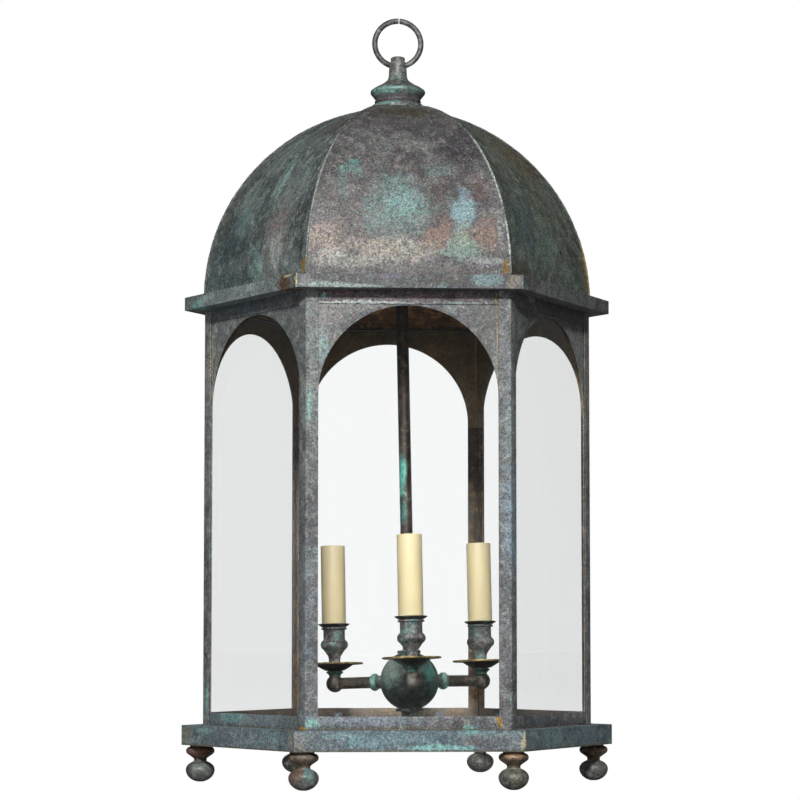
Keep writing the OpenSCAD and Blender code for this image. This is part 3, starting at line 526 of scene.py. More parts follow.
def plainMesh(name, shape):
    mesh = bpy.data.meshes.new(name)
    shape.to_mesh(mesh)
    shape.free()
    return mesh


def linked(name, data):
    thing = bpy.data.objects.new(name, data)
    scene.collection.objects.link(thing)
    return thing


def placePiece(name, mesh, stands, body="lantern"):
    mesh.shade_smooth()
    mesh.set_sharp_from_angle(angle=math.radians(32))
    piece = linked(name, mesh)
    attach(piece, body)
    if stands:
        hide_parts(*stands)


def finishPiece(name, shape, finishes, stands, body="lantern"):  # from mm to a piece in the scene
    shape.transform(Matrix.Scale(mm, 4))
    bmesh.ops.recalc_face_normals(shape, faces=shape.faces)
    mesh = plainMesh(name, shape)
    for finish in finishes:
        mesh.materials.append(finish)
    placePiece(name, mesh, stands, body)


def refinish(node, finish):  # a solid that is shown as it comes
    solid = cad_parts[node]
    solid.data.materials.clear()
    solid.data.materials.append(finish)


def ruleTree(name, **kinds):  # a node tree for meshes, with inputs of these kinds
    tree = bpy.data.node_groups.new(name, "GeometryNodeTree")
    socket = tree.interface.new_socket
    socket("Geometry", in_out="INPUT", socket_type="NodeSocketGeometry")
    for kind, names in kinds.items():
        for each in names.split():
            socket(each, in_out="INPUT", socket_type="NodeSocket" + kind)
    socket("Geometry", in_out="OUTPUT", socket_type="NodeSocketGeometry")
    return tree, addNode(tree, "NodeGroupInput").outputs


def endTree(tree, geometry, *coats):  # real geometry with its finishes as the tree's result
    geometry = addNode(tree, "GeometryNodeRealizeInstances", {"Geometry": geometry})
    for coat in coats:
        geometry = addNode(tree, "GeometryNodeSetMaterial", {"Geometry": geometry, **coat})
    addNode(tree, "NodeGroupOutput", {"Geometry": geometry})


def grown(name, tree, values, start=None):  # runs a node tree on a mesh and keeps the result as a plain mesh
    holder = linked(name + "Source", start or bpy.data.meshes.new(name + "Source"))
    modifier = holder.modifiers.new("rule", "NODES")
    modifier.node_group = tree
    for item in tree.interface.items_tree:
        if item.item_type == "SOCKET" and item.in_out == "INPUT" and item.name in values:
            modifier[item.identifier] = values[item.name]
    bpy.context.view_layer.update()
    mesh = bpy.data.meshes.new_from_object(holder.evaluated_get(bpy.context.evaluated_depsgraph_get()))
    holder.modifiers.remove(modifier)
    bpy.data.objects.remove(holder)
    mesh.name = name
    return mesh


dome = {"Columns": 29, "Rows": 73, "Sheet": 1.5 * mm, "Skirt": 12.5 * mm, "Dent": 0.5 * mm, "DentSize": 55.0 * mm,
        "Hole": 5.3 * mm}


def goreTree():
    tree, given = ruleTree("goreFromRule", Float="Apothem Rise Sheet Skirt Turn Foot Dent DentSize Seed Hole",
                           Int="Columns Rows", Material="Outside Inside")
    add = partial(addNode, tree)
    grid = add("GeometryNodeMeshGrid", {"Size X": 2.0, "Size Y": 1.0, "Vertices X": given["Columns"],
               "Vertices Y": given["Rows"]})
    place = add("GeometryNodeInputPosition")
    flat = add("SeparateXYZ", (place,)).outputs
    across = flat["X"]                                              # -1 to 1 between the two seams
    upward = add("Math", (flat["Y"], 0.5), operation="ADD")         # 0 at the foot, 1 at the crown
    skirtShare = 0.06
    above = add("Math", (upward, skirtShare), operation="SUBTRACT")
    above = add("Math", (above, 1 - skirtShare), operation="DIVIDE")
    above = add("Math", (above, 0.0), operation="MAXIMUM")
    stop = add("Math", (given["Hole"], given["Apothem"]), operation="DIVIDE")
    stop = add("Math", (stop,), operation="ARCCOSINE")
    angle = add("Math", (above, stop), operation="MULTIPLY")
    below = add("Math", (upward, skirtShare), operation="DIVIDE")
    below = add("Math", (below, 1.0), operation="SUBTRACT")
    below = add("Math", (below, 0.0), operation="MINIMUM")
    skirt = add("Math", (below, given["Skirt"]), operation="MULTIPLY")

    def onSurface(depth):  # the cloister vault's rule: an ellipse up the gore, mitred at 30 degrees
        out, height = (add("Math", (add("Math", (given[size], depth), operation="SUBTRACT"),
                       add("Math", (angle,), operation=wave)), operation="MULTIPLY")
                       for size, wave in (("Apothem", "COSINE"), ("Rise", "SINE")))
        height = add("Math", (height, skirt), operation="ADD")
        height = add("Math", (height, given["Foot"]), operation="ADD")
        side = add("Math", (add("Math", (out, mitre), operation="MULTIPLY"), across), operation="MULTIPLY")
        return add("CombineXYZ", (out, side, height))

    outer, inner = onSurface(0.0), onSurface(given["Sheet"])
    scale = add("Math", (1.0, given["DentSize"]), operation="DIVIDE")
    lumps = add("TexNoise", {"Vector": outer, "Scale": scale, "Detail": 2.0, "W": given["Seed"]},
                noise_dimensions="4D")
    push = add("Math", (lumps, 0.5), operation="SUBTRACT")
    calm = add("Math", (add("Math", (across,), operation="ABSOLUTE"), 4.0), operation="POWER")
    calm = add("Math", (1.0, calm), operation="SUBTRACT")           # seams and foot stay true
    foot = add("Math", (add("Math", (upward, 8.0), operation="MULTIPLY"), 1.0), operation="MINIMUM")
    dent = add("Math", (given["Dent"], 4.0), operation="MULTIPLY")
    for factor in (add("Math", (calm, foot), operation="MULTIPLY"), dent):
        push = add("Math", (push, factor), operation="MULTIPLY")
    outward = add("VectorMath", (outer, inner), operation="SUBTRACT")
    outward = add("VectorMath", (outward,), operation="NORMALIZE")
    dented = add("VectorMath", {0: outward, "Scale": push}, operation="SCALE")
    kept = add("GeometryNodeCaptureAttribute", {"Geometry": grid}, domain="POINT")
    for name, pair, operation in (("Inward", (inner, outer), "SUBTRACT"), ("Outer", (outer, dented), "ADD")):
        kept.capture_items.new("VECTOR", name)
        tree.links.new(add("VectorMath", pair, operation=operation).outputs[0], kept.inputs[name])
    skin = add("GeometryNodeSetPosition", {"Geometry": kept.outputs["Geometry"], "Position": kept.outputs["Outer"]})
    walls = add("GeometryNodeExtrudeMesh", {"Mesh": skin, "Offset": kept.outputs["Inward"], "Offset Scale": 1.0,
                "Individual": False}, mode="FACES")
    whole = add("GeometryNodeJoinGeometry")
    for part in (add("GeometryNodeFlipFaces", {"Mesh": walls}), skin):
        tree.links.new(part.outputs[0], whole.inputs[0])
    closed = add("GeometryNodeMergeByDistance", {"Geometry": whole, "Distance": 0.000002})
    placed = add("GeometryNodeTransform", {"Geometry": closed, "Rotation": add("CombineXYZ", {"Z": given["Turn"]})})
    middle = add("CombineXYZ", {"Z": given["Foot"]})
    away = add("VectorMath", (place, middle), operation="SUBTRACT")
    facing = add("VectorMath", (add("GeometryNodeInputNormal"), away), operation="DOT_PRODUCT")
    inward = add("Math", (facing, 0.0), operation="LESS_THAN")
    endTree(tree, placed, {"Material": given["Outside"]}, {"Material": given["Inside"], "Selection": inward})
    return tree


gore = goreTree()
for k in faces:
    mesh = grown("domeGore%d" % k, gore, dict(
        dome, Apothem=apothem * mm, Rise=lantern["domeRise"] * mm, Foot=heights["domeFoot"] * mm,
        Turn=faceAngle(k), Seed=7.0 + k, Outside=domeBrass.get(k, domeBrass[0]), Inside=insideDomeBrass))
    placePiece("domeGore%d" % k, mesh, ["dome_panel_%d" % k])
print("dome made")


rings = {
    "cornice": {"piece": "corniceRing", "reach": 229.0, "low": heights["corniceLow"], "high": heights["domeFoot"],
                "lowHole": 189.6, "highHole": 207.5, "soft": 0.7, "finish": corniceBrass},
    "base_ring": {"piece": "baseRing", "reach": 230.0, "low": heights["footTop"], "high": heights["baseTop"],
                  "lowHole": 189.6, "highHole": 189.6, "soft": 0.6, "finish": baseBrass},
}
for name, ring in rings.items():  # a closed section of (corner radius, z), swept round the hexagon
    shape = bmesh.new()
    thick = lantern["sheet"]
    inner = ring["reach"] - thick / flatShare
    low, high = ring["low"], ring["high"]
    section = [(ring["lowHole"], low), (ring["reach"], low), (ring["reach"], high), (ring["highHole"], high),
               (ring["highHole"], high - thick), (inner, high - thick), (inner, low + thick),
               (ring["lowHole"], low + thick)]
    loops = [[shape.verts.new((*polar(r, cornerAngle(k)), z)) for k in faces] for r, z in section]
    for i, loop in enumerate(loops):
        bridged(shape, loop, loops[(i + 1) % len(loops)])
    bevelled(shape, sharpEdges(shape, 25), ring["soft"], clamp=True)
    bmesh.ops.recalc_face_normals(shape, faces=shape.faces)
    for face in shape.faces:  # brown on the faces that look into the folded channel
        between = low + 0.4 * thick < face.calc_center_median().z < high - 0.4 * thick
        face.material_index = 1 if looksOut(face) < 0.5 and between else 0
    finishPiece(ring["piece"], shape, [ring["finish"], insideBrass], [name])
print("cornice and base made")


post = {"flat": 12.7, "soft": 0.5}
plate = {"rail": 13.5, "crown": 15.2, "archSteps": 72, "soft": 0.35, "clear": 0.1}
postLow, postHigh = heights["baseTop"], heights["corniceLow"]

for k in faces:
    shape = bmesh.new()
    t = lantern["sheet"]
    tipX, tipY = -post["flat"] * 0.5, post["flat"] * flatShare
    inX, inY = -t * flatShare, -t * 0.5
    outline = [(0, 0), (tipX, tipY), (tipX + inX, tipY + inY), (-t / flatShare, 0), (tipX + inX, -tipY - inY),
               (tipX, -tipY)]
    place = rolled(cornerAngle(k)) @ moved(lantern["postCorner"], 0, 0)
    low, high = ([shape.verts.new(place @ Vector((x, y, z))) for x, y in outline] for z in (postLow, postHigh))
    bridged(shape, low, high)
    shape.faces.new(list(reversed(low)))
    shape.faces.new(high)
    upright = [e for e in shape.edges if abs(e.verts[0].co.z - e.verts[1].co.z) > 100]
    bevelled(shape, upright, post["soft"], 3)
    bmesh.ops.recalc_face_normals(shape, faces=shape.faces)
    for face in shape.faces:
        face.material_index = 1 if looksOut(face) < -0.3 else 0
    finishPiece("cornerPost%d" % k, shape, [sheetBrass, insideBrass], ["post_%d" % k])

half = lantern["postCorner"] / 2 - post["flat"]
tall = postHigh - postLow
spring = tall - plate["crown"] - half
arch = [(half * math.cos(a), spring + half * math.sin(a)) for a in
        (math.pi * (1 - i / plate["archSteps"]) for i in range(plate["archSteps"] + 1))]
points, index = [], {}   # points are (column, z): the first and last columns are the mitred edges


def spot(column, z):
    key = (column, round(z, 4))
    if key not in index:
        index[key] = len(points)
        points.append((column, z))
    return index[key]


last = len(arch) + 1
cells = [(c, 0, 0, plate["rail"], plate["rail"]) for c in range(last)]
cells += [(c, a, a, b, b) for c in (0, last - 1) for a, b in ((plate["rail"], spring), (spring, tall))]
cells += [(i + 1, arch[i][1], arch[i + 1][1], tall, tall) for i in range(plate["archSteps"])]
quads = [[spot(c, lowA), spot(c + 1, lowB), spot(c + 1, highB), spot(c, highA)]
         for c, lowA, lowB, highB, highA in cells]

for k in faces:
    shape = bmesh.new()
    sheets = []
    for depth in (apothem - lantern["sheet"], apothem - 2 * lantern["sheet"] + plate["clear"]):
        sideways = [-depth * mitre] + [x for x, z in arch] + [depth * mitre]
        sheets.append([rolled(faceAngle(k)) @ Vector((depth, sideways[c], postLow + z)) for c, z in points])
    walled(shape, *sheets, quads)
    bmesh.ops.recalc_face_normals(shape, faces=shape.faces)
    bevelled(shape, sharpEdges(shape, 50), plate["soft"])
    for face in shape.faces:
        face.material_index = 1 if looksOut(face) < -0.5 else 0
    finishPiece("sidePlate%d" % k, shape, [sheetBrass, insideSheetBrass], ["side_plate_%d" % k])

strip = {"tall": 14.0, "thick": 1.2, "short": 0.1, "soft": 0.3}
shape = bmesh.new()
for k in faces:
    out = apothem - lantern["sheet"] + strip["thick"] / 2
    size = Matrix.Diagonal((strip["thick"], 2 * (half - strip["short"]), strip["tall"], 1))
    place = rolled(faceAngle(k)) @ moved(out, 0, postHigh - strip["tall"] / 2)
    bmesh.ops.create_cube(shape, size=1, matrix=place @ size)
bevelled(shape, sharpEdges(shape, 25), strip["soft"], clamp=True)
finishPiece("topStrips", shape, [stripBrass], ["top_strips"])
print("posts, plates and strips made")


for k in faces:
    refinish("glass_pane_%d" % k, glass)

clip = {"wide": 8.0, "tall": 8.0, "foot": 6.0, "thick": 1.0, "low": 57.0, "high": 85.0, "paneIn": apothem - 3 - 2.5}


def scatterTree(name):
    tree, given = ruleTree(name, Object="Part", Material="Finish")
    add = partial(addNode, tree)
    copies = add("GeometryNodeInstanceOnPoints", {
        "Points": add("GeometryNodeMeshToPoints", {"Mesh": given["Geometry"]}),
        "Instance": add("GeometryNodeObjectInfo", {"Object": given["Part"]}).outputs["Geometry"],
        "Rotation": add("GeometryNodeInputNamedAttribute", {"Name": "turn"}, data_type="FLOAT_VECTOR")})
    endTree(tree, copies, {"Material": given["Finish"]})
    return tree


def scattered(name, shape, spots, finish, stands):  # spots hold a point in mm and a turn in radians
    shape.transform(Matrix.Scale(mm, 4))
    bmesh.ops.recalc_face_normals(shape, faces=shape.faces)
    part = linked(name + "Part", plainMesh(name + "Part", shape))
    start = bpy.data.meshes.new(name + "Spots")
    start.from_pydata([[c * mm for c in point] for point, turn in spots], [], [])
    turns = start.attributes.new("turn", "FLOAT_VECTOR", "POINT")
    turns.data.foreach_set("vector", [a for point, turn in spots for a in turn])
    made = grown(name, scatterTree(name + "Spread"), {"Part": part, "Finish": finish}, start)
    bpy.data.objects.remove(part)
    placePiece(name, made, stands)


shape = bmesh.new()
bent = rounded([(0, 0), (0, clip["tall"]), (-clip["thick"], clip["tall"]), (-clip["thick"], clip["thick"]),
                (-clip["foot"], clip["thick"]), (-clip["foot"], 0)], 0.3, 2, True)
sideA, sideB = ([shape.verts.new((x, y, z)) for x, z in bent] for y in (-clip["wide"] / 2, clip["wide"] / 2))
bridged(shape, sideA, sideB)
shape.faces.new(sideA)
shape.faces.new(list(reversed(sideB)))
spots = []
for k in faces:
    for side in (-1, 1):
        for level, along, flip in ((postLow, clip["low"], 0), (postHigh, clip["high"], math.pi)):
            point = rolled(faceAngle(k)) @ Vector((clip["paneIn"], side * along, level))
            spots.append((point, (rolled(faceAngle(k)) @ rolled(flip, "X")).to_euler()))
scattered("glassClips", shape, spots, clipMetal, ["glass_clips"])

foot = {"circle": 210.0, "ball": 15.3, "low": 12.8, "high": 9.9, "flat": 3.0, "neck": 6.9, "neckTall": 2.9,
        "cone": 4.9, "knob": 4.2, "seat": 10.9, "stud": 3.0, "studTall": 8.5, "nut": 10.0, "nutTall": 5.0}
nutCorner = foot["nut"] * 0.577
shape = bmesh.new()
turned(shape, rounded([(foot["stud"] + 0.1, 0), (nutCorner, 0), (nutCorner, foot["nutTall"]),
                       (foot["stud"] + 0.1, foot["nutTall"])], 0.4, 2, True), sides=6, closed=True)
spots = [(Vector((*polar(foot["circle"], cornerAngle(k)), heights["footTop"] + lantern["sheet"])),
          (0, 0, cornerAngle(k))) for k in faces]
scattered("footNuts", shape, spots, nutBrass, ["foot_nuts"])

flatTurn = math.degrees(math.acos(foot["flat"] / foot["ball"]))
topTurn = math.degrees(math.acos(foot["neck"] / foot["ball"]))
ballMid = foot["low"] * math.sin(math.radians(flatTurn))
neckZ = ballMid + foot["high"] * math.sin(math.radians(topTurn))
coneZ = neckZ + foot["neckTall"]
knobZ = coneZ + foot["cone"] + foot["knob"] * math.sin(math.radians(50))
studZ = heights["footTop"] + foot["studTall"]
footLine = [(0, 0)] + arc(0, ballMid, foot["ball"], foot["low"], -flatTurn, 0, 14)
footLine += arc(0, ballMid, foot["ball"], foot["high"], topTurn / 8, topTurn, 7)
footLine += [(foot["neck"] - 0.15, neckZ + 0.8), (foot["neck"] - 0.1, coneZ - 0.6), (foot["neck"] + 0.4, coneZ + 0.5)]
footLine += arc(foot["seat"], knobZ, foot["knob"], foot["knob"], -50, 90, 12)
footLine += [(foot["seat"], heights["footTop"]), (foot["stud"], heights["footTop"]), (foot["stud"], studZ),
             (0, studZ)]
for k in faces:
    shape = bmesh.new()
    turned(shape, rounded(footLine, 0.5, 2), moved(*polar(foot["circle"], cornerAngle(k)), 0), 48)
    for face in shape.faces:
        face.material_index = 1 if face.calc_center_median().z > neckZ + 1 else 0
    finishPiece("ballFoot%d" % k, shape, [footBrass, knobBrass], ["foot_%d" % k])
print("glass, clips and feet made")


finial = {"skirt": 29.6, "waist": 24.2, "flare": 29.7, "neck": 9.7, "button": 7.7, "skirtTall": 5.2, "bead": 3.6,
          "bowl": 8.9, "shoulder": 13.1, "neckTall": 21.9, "buttonTall": 3.8, "stud": 5.0, "studLong": 14.5,
          "holeUp": 16.5}
skirt, waist, neck, button = (finial[part] for part in ("skirt", "waist", "neck", "button"))
beadZ = finial["skirtTall"]
bowlZ = beadZ + finial["bead"]
flareZ = bowlZ + finial["bowl"]
shoulderZ = flareZ + finial["shoulder"]
neckZ = shoulderZ + finial["neckTall"]
topZ = neckZ + finial["buttonTall"]
outline = [(0, -finial["studLong"]), (finial["stud"], -finial["studLong"]), (finial["stud"], -1.0),
           (skirt - 1.2, -2.6), (skirt, -2.2), (skirt, 0), (skirt - 1.0, 0.45 * beadZ), (waist + 0.6, beadZ - 0.5),
           (waist, beadZ + 0.4)]
outline += arc(waist - 0.5, beadZ + finial["bead"] / 2, 1.5, finial["bead"] / 2 - 0.6, -80, 80, 8)
outline += [(waist, bowlZ), (waist + 1.2, bowlZ + 2.4)]
outline += arc(finial["flare"] - 2.6, flareZ - 0.2, 2.6, 2.9, -42, 55, 9)
outline += [(24.5, flareZ + 4.9), (18.6, flareZ + 8.0), (14.6, flareZ + 10.6), (neck + 2.0, shoulderZ),
            (neck + 0.7, shoulderZ + 2.6), (neck + 0.1, shoulderZ + 5.5), (neck, shoulderZ + 9),
            (neck - 0.3, shoulderZ + 14), (neck - 1.1, neckZ - 2.5), (button - 0.3, neckZ - 0.2),
            (button, neckZ + 0.9), (button, topZ - 1.0), (button - 1.4, topZ - 0.1), (0, topZ)]
shape = bmesh.new()
turned(shape, rounded(outline, 0.35, 2), moved(0, 0, apex), 96)
finishPiece("ringFinial", shape, [finialBrass], ["ring_finial"])

ring = {"across": 56.0, "rod": 6.0, "slit": 1.0, "slitTurn": 3.0, "steps": 140, "sides": 20, "chamfer": 0.35,
        "cut": 0.86}
ringMid = (ring["across"] - ring["rod"]) / 2
bow = ringMid - math.sqrt(ringMid ** 2 - neck ** 2)
ringZ = apex + shoulderZ + finial["holeUp"] + ringMid - bow / 2
gap = ring["slit"] / ringMid
chamfer = ring["chamfer"] / ringMid
shape = bmesh.new()
turns = [gap / 2 + (2 * math.pi - gap) * i / ring["steps"] for i in range(ring["steps"] + 1)]
stations = [(turns[0], ring["cut"]), (turns[0] + chamfer, 1.0)] + [(turn, 1.0) for turn in turns[1:-1]]
stations += [(turns[-1] - chamfer, 1.0), (turns[-1], ring["cut"])]
loops = []
for turn, share in stations:
    x, z = polar(1, math.pi / 2 - math.radians(ring["slitTurn"]) + turn)
    section = [polar(ring["rod"] / 2 * share, b) for b in around(ring["sides"])]
    loops.append([shape.verts.new((x * (ringMid + out), y, ringZ + z * (ringMid + out))) for out, y in section])
for one, two in zip(loops, loops[1:]):
    bridged(shape, one, two)
shape.faces.new(loops[0])
shape.faces.new(list(reversed(loops[-1])))
finishPiece("hangingRing", shape, [ringBrass], ["hanging_ring"], body="ring")
print("finial and ring made")


cluster = {"hubZ": heights["baseTop"] + 46.0, "hub": 31.0, "hubBore": 28.5, "footShare": 0.926, "bossLong": 7.0,
           "stem": 6.5, "stemBore": 4.5, "stemUp": 25.5, "stemSunk": 19.3, "circle": 91.0, "arm": 6.1, "boss": 0.9,
           "bead": 9.25, "elbow": 9.4, "disc": 9.2, "collar": 7.6, "panZ": 14.0, "nipple": 5.1}
hub, stem, arm, nipple = (cluster[part] for part in ("hub", "stem", "arm", "nipple"))
hubTop = hub + 1.3
hubFoot = cluster["footShare"] * hub
bossEnd = hub + cluster["bossLong"]
atHub = lean @ moved(0, 0, cluster["hubZ"])
lying = rolled(math.pi / 2, "Y")   # turns +Z along +X

shape = bmesh.new()
outline = [(stem + 0.1, hubTop), (stem + 5.8, hubTop), (stem + 5.8, hubTop - 3.0), (stem + 3.5, hubTop - 3.0)]
outline += arc(0, 0, hub, hub, math.degrees(math.acos((stem + 3.5) / hub)),
               -math.degrees(math.asin(cluster["footShare"])), 40)
outline += [(10.0, -hubFoot)] + arc(0, 0, cluster["hubBore"], cluster["hubBore"], -68, 76.5, 24)
turned(shape, rounded(outline, 0.5, 2, True), atHub, 72, True)
for k in arms:
    wide = arm + cluster["boss"]
    boss = [(arm + 0.1, hub - 2.2), (wide, hub - 2.2), (wide, bossEnd), (arm + 0.1, bossEnd)]
    turned(shape, rounded(boss, 0.3, 2, True), atHub @ rolled(armAngle(k)) @ lying, 40, True)
finishPiece("clusterHub", shape, [hubBrass], ["hub"])

shape = bmesh.new()
outline = [(0, 3.0), (9.9, 3.0), (9.9, 0), (14.9, 0), (14.9, -3.2), (9.5, -3.2), (9.0, -10.1), (7.0, -12.6),
           (0, -12.6)]
turned(shape, rounded(outline, 0.6, 3), atHub @ moved(0, 0, -hubFoot), 64)
finishPiece("hubCap", shape, [flangeBrass], ["hub_cap"])

shape = bmesh.new()
stemLow, stemHigh = cluster["hubZ"] + cluster["stemUp"], apex - cluster["stemSunk"]
outline = [(cluster["stemBore"], stemLow)] + [(stem, stemLow + (stemHigh - stemLow) * i / 40) for i in range(41)]
turned(shape, outline + [(cluster["stemBore"], stemHigh)], lean, 40, True)
finishPiece("stemTube", shape, [stemBrass], ["stem"])

candle = {"pan": 30.5, "panFloor": 10.0, "brim": 9.5, "panRise": 6.4, "panThick": 1.8, "cupFoot": 8.5, "cupNeck": 6.2,
          "neckTall": 13.3, "bulb": 14.8, "bulbRound": 5.8, "barrel": 11.6, "barrelTall": 10.3, "rim": 2.2,
          "rimTall": 3.3, "flange": 16.9, "flangeTall": 3.1, "flangeEdge": 0.9, "sleeve": 13.0, "sleeveLong": 84.0,
          "sleeveWall": 0.8}
pan, thick, rise = candle["pan"], candle["panThick"], candle["panRise"]
cupZ = cluster["panZ"] + thick
neckTop = candle["neckTall"]
bulbMid = neckTop + 12.5
barrelZ = bulbMid + candle["bulbRound"]
rimZ = barrelZ + candle["barrelTall"]
flangeZ = rimZ + candle["rimTall"]
cupTall = flangeZ + candle["flangeTall"]

# Outlines of one candle, shared by all three
tubeLow, beadAt, elbow = 27.0 - cluster["circle"], bossEnd + 4 - cluster["circle"], cluster["elbow"]
tubeLine = [(4.0, tubeLow), (arm, tubeLow), (arm, -4.0), (4.0, -4.0)]
beadLine = [(5.0, beadAt - 3.6)] + arc(cluster["bead"] - 4, beadAt, 4, 4, -90, 90, 12) + [(5.0, beadAt + 3.6)]
top, wide, collar = cluster["panZ"], cluster["disc"], cluster["collar"]
spoolLine = rounded([
    (nipple, elbow - 2.5), (wide - 3, elbow - 2.0), (wide - 3, elbow - 0.4), (wide - 1.6, top - 3.6),
    (wide, top - 2.3), (wide, top - 1.1), (collar, top - 0.8), (collar, top), (nipple, top)], 0.35, 2, True)
brimIn, floorEnd = pan - candle["brim"], candle["panFloor"]
under = [(floorEnd, 0), (floorEnd + 0.45 * (brimIn - floorEnd), 0.4 * rise), (brimIn - 0.8, 0.93 * rise),
         (brimIn + 0.8, rise)]
panLine = [(nipple, 0)] + under + [(pan, rise), (pan, rise + thick - 0.3), (pan - 0.3, rise + thick)]
panLine = rounded(panLine + [(r - 0.3, z + thick) for r, z in reversed(under)] + [(nipple, thick)], 0.4, 2, True)
cupFoot, cupNeck, barrel, flange = (candle[part] for part in ("cupFoot", "cupNeck", "barrel", "flange"))
rim = barrel + candle["rim"]
cupLine = [(nipple, 0), (cupFoot, 0), (cupFoot, 1.2), (cupNeck + 0.4, 3.2), (cupNeck, 5.0), (cupNeck, neckTop - 3),
           (cupNeck + 0.5, neckTop), (cupNeck + 3.3, neckTop + 4.2)]
cupLine += arc(candle["bulb"] - candle["bulbRound"], bulbMid, candle["bulbRound"], candle["bulbRound"], -60, 60, 16)
cupLine += [(barrel, barrelZ), (barrel, rimZ), (rim, rimZ + 0.5), (rim, rimZ + 2.1), (barrel + 0.7, rimZ + 2.5),
            (barrel + 0.7, flangeZ - 0.3), (rim - 0.4, flangeZ), (flange, cupTall - candle["flangeEdge"]),
            (flange, cupTall), (barrel - 1.5, cupTall), (barrel - 1.5, bulbMid - 3.8), (nipple, bulbMid - 3.8)]
cupLine = rounded(cupLine, 0.3, 2, True)
sleeve, low, high = candle["sleeve"], cupZ + cupTall, cupZ + cupTall + candle["sleeveLong"]
thin = sleeve - candle["sleeveWall"]
sleeveLine = rounded([(thin, low), (sleeve, low), (sleeve, high), (thin, high)], 0.35, 3, True)

for k in arms:
    here = atHub @ rolled(armAngle(k)) @ moved(cluster["circle"], 0, 0)
    shape = bmesh.new()
    turned(shape, tubeLine, here @ lying, 40, True)
    turned(shape, beadLine, here @ lying, 40, True, 1)
    turned(shape, arc(0, 0, elbow, elbow, -90, 90, 24), here, 48)
    turned(shape, spoolLine, here, 48, True, 1)
    finishPiece("clusterArm%d" % k, shape, [armBrass, collarBrass], ["arm_%d" % k])

    shape = bmesh.new()
    turned(shape, panLine, here @ moved(0, 0, cluster["panZ"]), 72, True)
    shape.normal_update()
    bmesh.ops.recalc_face_normals(shape, faces=shape.faces)
    for face in shape.faces:  # rubbed bright on top and round the rim, black under it
        out = (face.calc_center_median() - here.translation).to_2d().length
        face.material_index = 0 if face.normal.z > 0.35 or out > pan - 1.4 else 1
    finishPiece("dripPan%d" % k, shape, [panBrass, flangeBrass], ["drip_pan_%d" % k])

    shape = bmesh.new()
    turned(shape, cupLine, moved(0, 0, cupZ), 64, True)
    for face in shape.faces:
        face.material_index = 1 if face.calc_center_median().z > cupZ + rimZ + 2.3 else 0
    shape.transform(here)
    finishPiece("candleCup%d" % k, shape, [cupBrass, flangeBrass], ["candle_cup_%d" % k])

    shape = bmesh.new()
    turned(shape, sleeveLine, here, 72, True)
    finishPiece("candleSleeve%d" % k, shape, [sleeveCard], ["candle_sleeve_%d" % k])
    refinish("nipple_%d" % k, nutBrass)
    refinish("lamp_holder_%d" % k, holderPlastic)
refinish("stem_coupling", stemBrass)
print("cluster made")


seam = {"ridge": 1.2, "joint": 0.6, "uneven": 0.9, "lump": 7.0, "step": 1.5, "lift": 0.3}


def beadTree():
    tree, given = ruleTree("solderAlongSeam", Float="Radius Uneven Lump Step Seed", Material="Finish")
    add = partial(addNode, tree)
    line = add("GeometryNodeMeshToCurve", {"Mesh": given["Geometry"]})
    even = add("GeometryNodeResampleCurve", {"Curve": line, "Length": given["Step"]}, mode="LENGTH")
    scale = add("Math", (1.0, given["Lump"]), operation="DIVIDE")
    lumps = add("TexNoise", {"Scale": scale, "Detail": 2.0, "W": given["Seed"]}, noise_dimensions="4D")
    swing = add("Math", (lumps, 0.5), operation="SUBTRACT")
    share = add("Math", (swing, given["Uneven"], 1.0), operation="MULTIPLY_ADD")
    profile = add("GeometryNodeCurvePrimitiveCircle", {"Resolution": 8, "Radius": given["Radius"]})
    tube = add("GeometryNodeCurveToMesh", {"Curve": even, "Profile Curve": profile, "Scale": share,
               "Fill Caps": True})
    endTree(tree, tube, {"Material": given["Finish"]})
    return tree


def beaded(name, runs, radius, finish):  # runs hold lists of points in mm
    points, edges = [], []
    for run in runs:
        first = len(points)
        points += [[c * mm for c in point] for point in run]
        edges += [(first + i, first + i + 1) for i in range(len(run) - 1)]
    start = bpy.data.meshes.new(name + "Runs")
    start.from_pydata(points, edges, [])
    mesh = grown(name, beads, {"Radius": radius * mm, "Uneven": seam["uneven"], "Lump": seam["lump"] * mm,
                 "Step": seam["step"] * mm, "Seed": 5.0, "Finish": finish}, start)
    placePiece(name, mesh, [])


beads = beadTree()
ridges, joints = [], []
for k in faces:
    turns = [math.radians(1 + 80 * i / 60) for i in range(61)]
    ridges.append([(*polar(lantern["postCorner"] * math.cos(t), cornerAngle(k)),
                    heights["domeFoot"] + lantern["domeRise"] * math.sin(t)) for t in turns])
    ends = [(*polar(lantern["postCorner"] + seam["lift"], a), heights["baseTop"] + seam["lift"])
            for a in (cornerAngle(k), cornerAngle(k + 1))]
    joints.append([[one + (two - one) * i / 60 for one, two in zip(*ends)] for i in range(61)])
beaded("ridgeSolder", ridges, seam["ridge"], seamSolder)
beaded("footJointSolder", joints, seam["joint"], jointSolder)
print("seams made")


backdrop = {"behindGlass": 1.08, "asLight": 0.10}


def seenDirect(tree):  # 1 where the backdrop is looked at, a little more through the panes; 0 where it lights brass
    add = partial(addNode, tree)
    rays = add("LightPath").outputs
    behind = add("Math", (rays["Is Transmission Ray"], backdrop["behindGlass"]), operation="MULTIPLY")
    straight = add("Math", (rays["Is Camera Ray"], behind), operation="MAXIMUM")
    bounced = add("Math", (rays["Diffuse Depth"], rays["Glossy Depth"]), operation="ADD")
    unbounced = add("Math", (bounced, 0.5), operation="LESS_THAN")
    return add("Math", (straight, unbounced), operation="MULTIPLY")


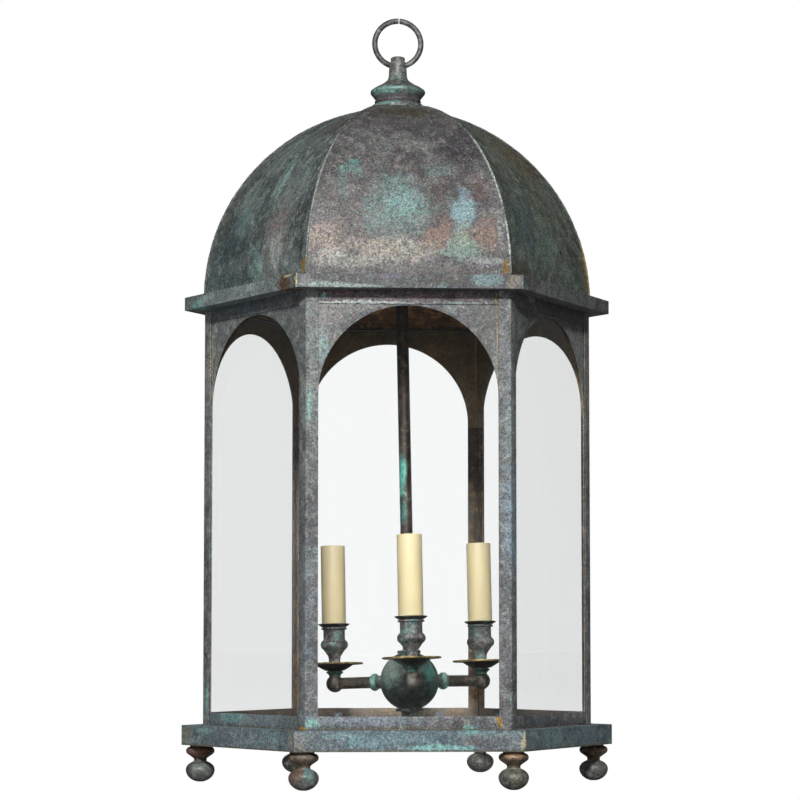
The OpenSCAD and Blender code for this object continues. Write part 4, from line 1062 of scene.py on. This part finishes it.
floorMaterial, tree = newMaterial("plainFloor")
seen = seenDirect(tree)
paper = addNode(tree, "BsdfPrincipled", {"Base Color": linear("#8c8c8c"), "Roughness": 0.9})
bright = addNode(tree, "Emission", {"Color": (1, 1, 1, 1), "Strength": seen})
addNode(tree, "OutputMaterial", {"Surface": addNode(tree, "MixShader", (seen, paper, bright))})
shape = bmesh.new()
bmesh.ops.create_grid(shape, x_segments=1, y_segments=1, size=30)
mesh = plainMesh("plainFloor", shape)
mesh.materials.append(floorMaterial)
floor = linked("plainFloor", mesh)

# A white backdrop that lights little, one soft lamp high on the left, a broad weak one in front and one behind
studio = bpy.data.worlds.new("softStudio")
studio.use_nodes = True
scene.world = studio
tree = studio.node_tree
shade = addNode(tree, "Math", (seenDirect(tree), backdrop["asLight"]), operation="MAXIMUM")
tree.links.new(shade.outputs[0], tree.nodes["Background"].inputs["Strength"])
tree.nodes["Background"].inputs["Color"].default_value = (1, 1, 1, 1)

lamps = {"key": {"turn": 264.0, "rise": 24.0, "far": 3.3, "size": 0.26, "power": 100.0},
         "fill": {"turn": 252.0, "rise": 6.0, "far": 4.0, "size": 2.6, "power": 36.0},
         "back": {"turn": 82.0, "rise": 24.0, "far": 4.0, "size": 2.2, "power": 70.0}}
for name, lamp in lamps.items():
    light = bpy.data.lights.new(name, "AREA")
    light.shape = "DISK"
    light.energy, light.size = lamp["power"], lamp["size"]
    across, up = polar(1, math.radians(lamp["rise"]))
    toward = Vector((*polar(across, math.radians(lamp["turn"])), up))
    holder = linked(name, light)
    holder.location = Vector((0, 0, 0.4)) + toward * lamp["far"]
    holder.rotation_euler = (-toward).to_track_quat("-Z", "Y").to_euler()
    if name != "key":  # the broad lamps aren't mirrored in the panes
        holder.visible_glossy = holder.visible_transmission = False

view = {"distance": 2821.13, "azimuth": -0.06091, "height": 146.58, "pan": -0.00083, "tilt": 0.06785,
        "focal": 2632.35, "shift": 0.08}     # mm, radians and pixels of an 800 pixel picture
camera = bpy.data.cameras.new("photoCamera")
camera.sensor_width = 36.0
camera.lens = view["focal"] * 36.0 / 800
camera.shift_y = view["shift"]
eye = linked("photoCamera", camera)
ahead, aside = polar(view["distance"], view["azimuth"])
eye.location = Vector((aside, -ahead, view["height"])) * mm
heading = view["azimuth"] + view["pan"]
level, up = polar(1, view["tilt"])
forward = Vector((-math.sin(heading) * level, math.cos(heading) * level, up))
eye.rotation_euler = forward.to_track_quat("-Z", "Y").to_euler()
scene.camera = eye
scene.view_settings.view_transform = "Standard"

bpy.context.view_layer.update()
print("scene ready")
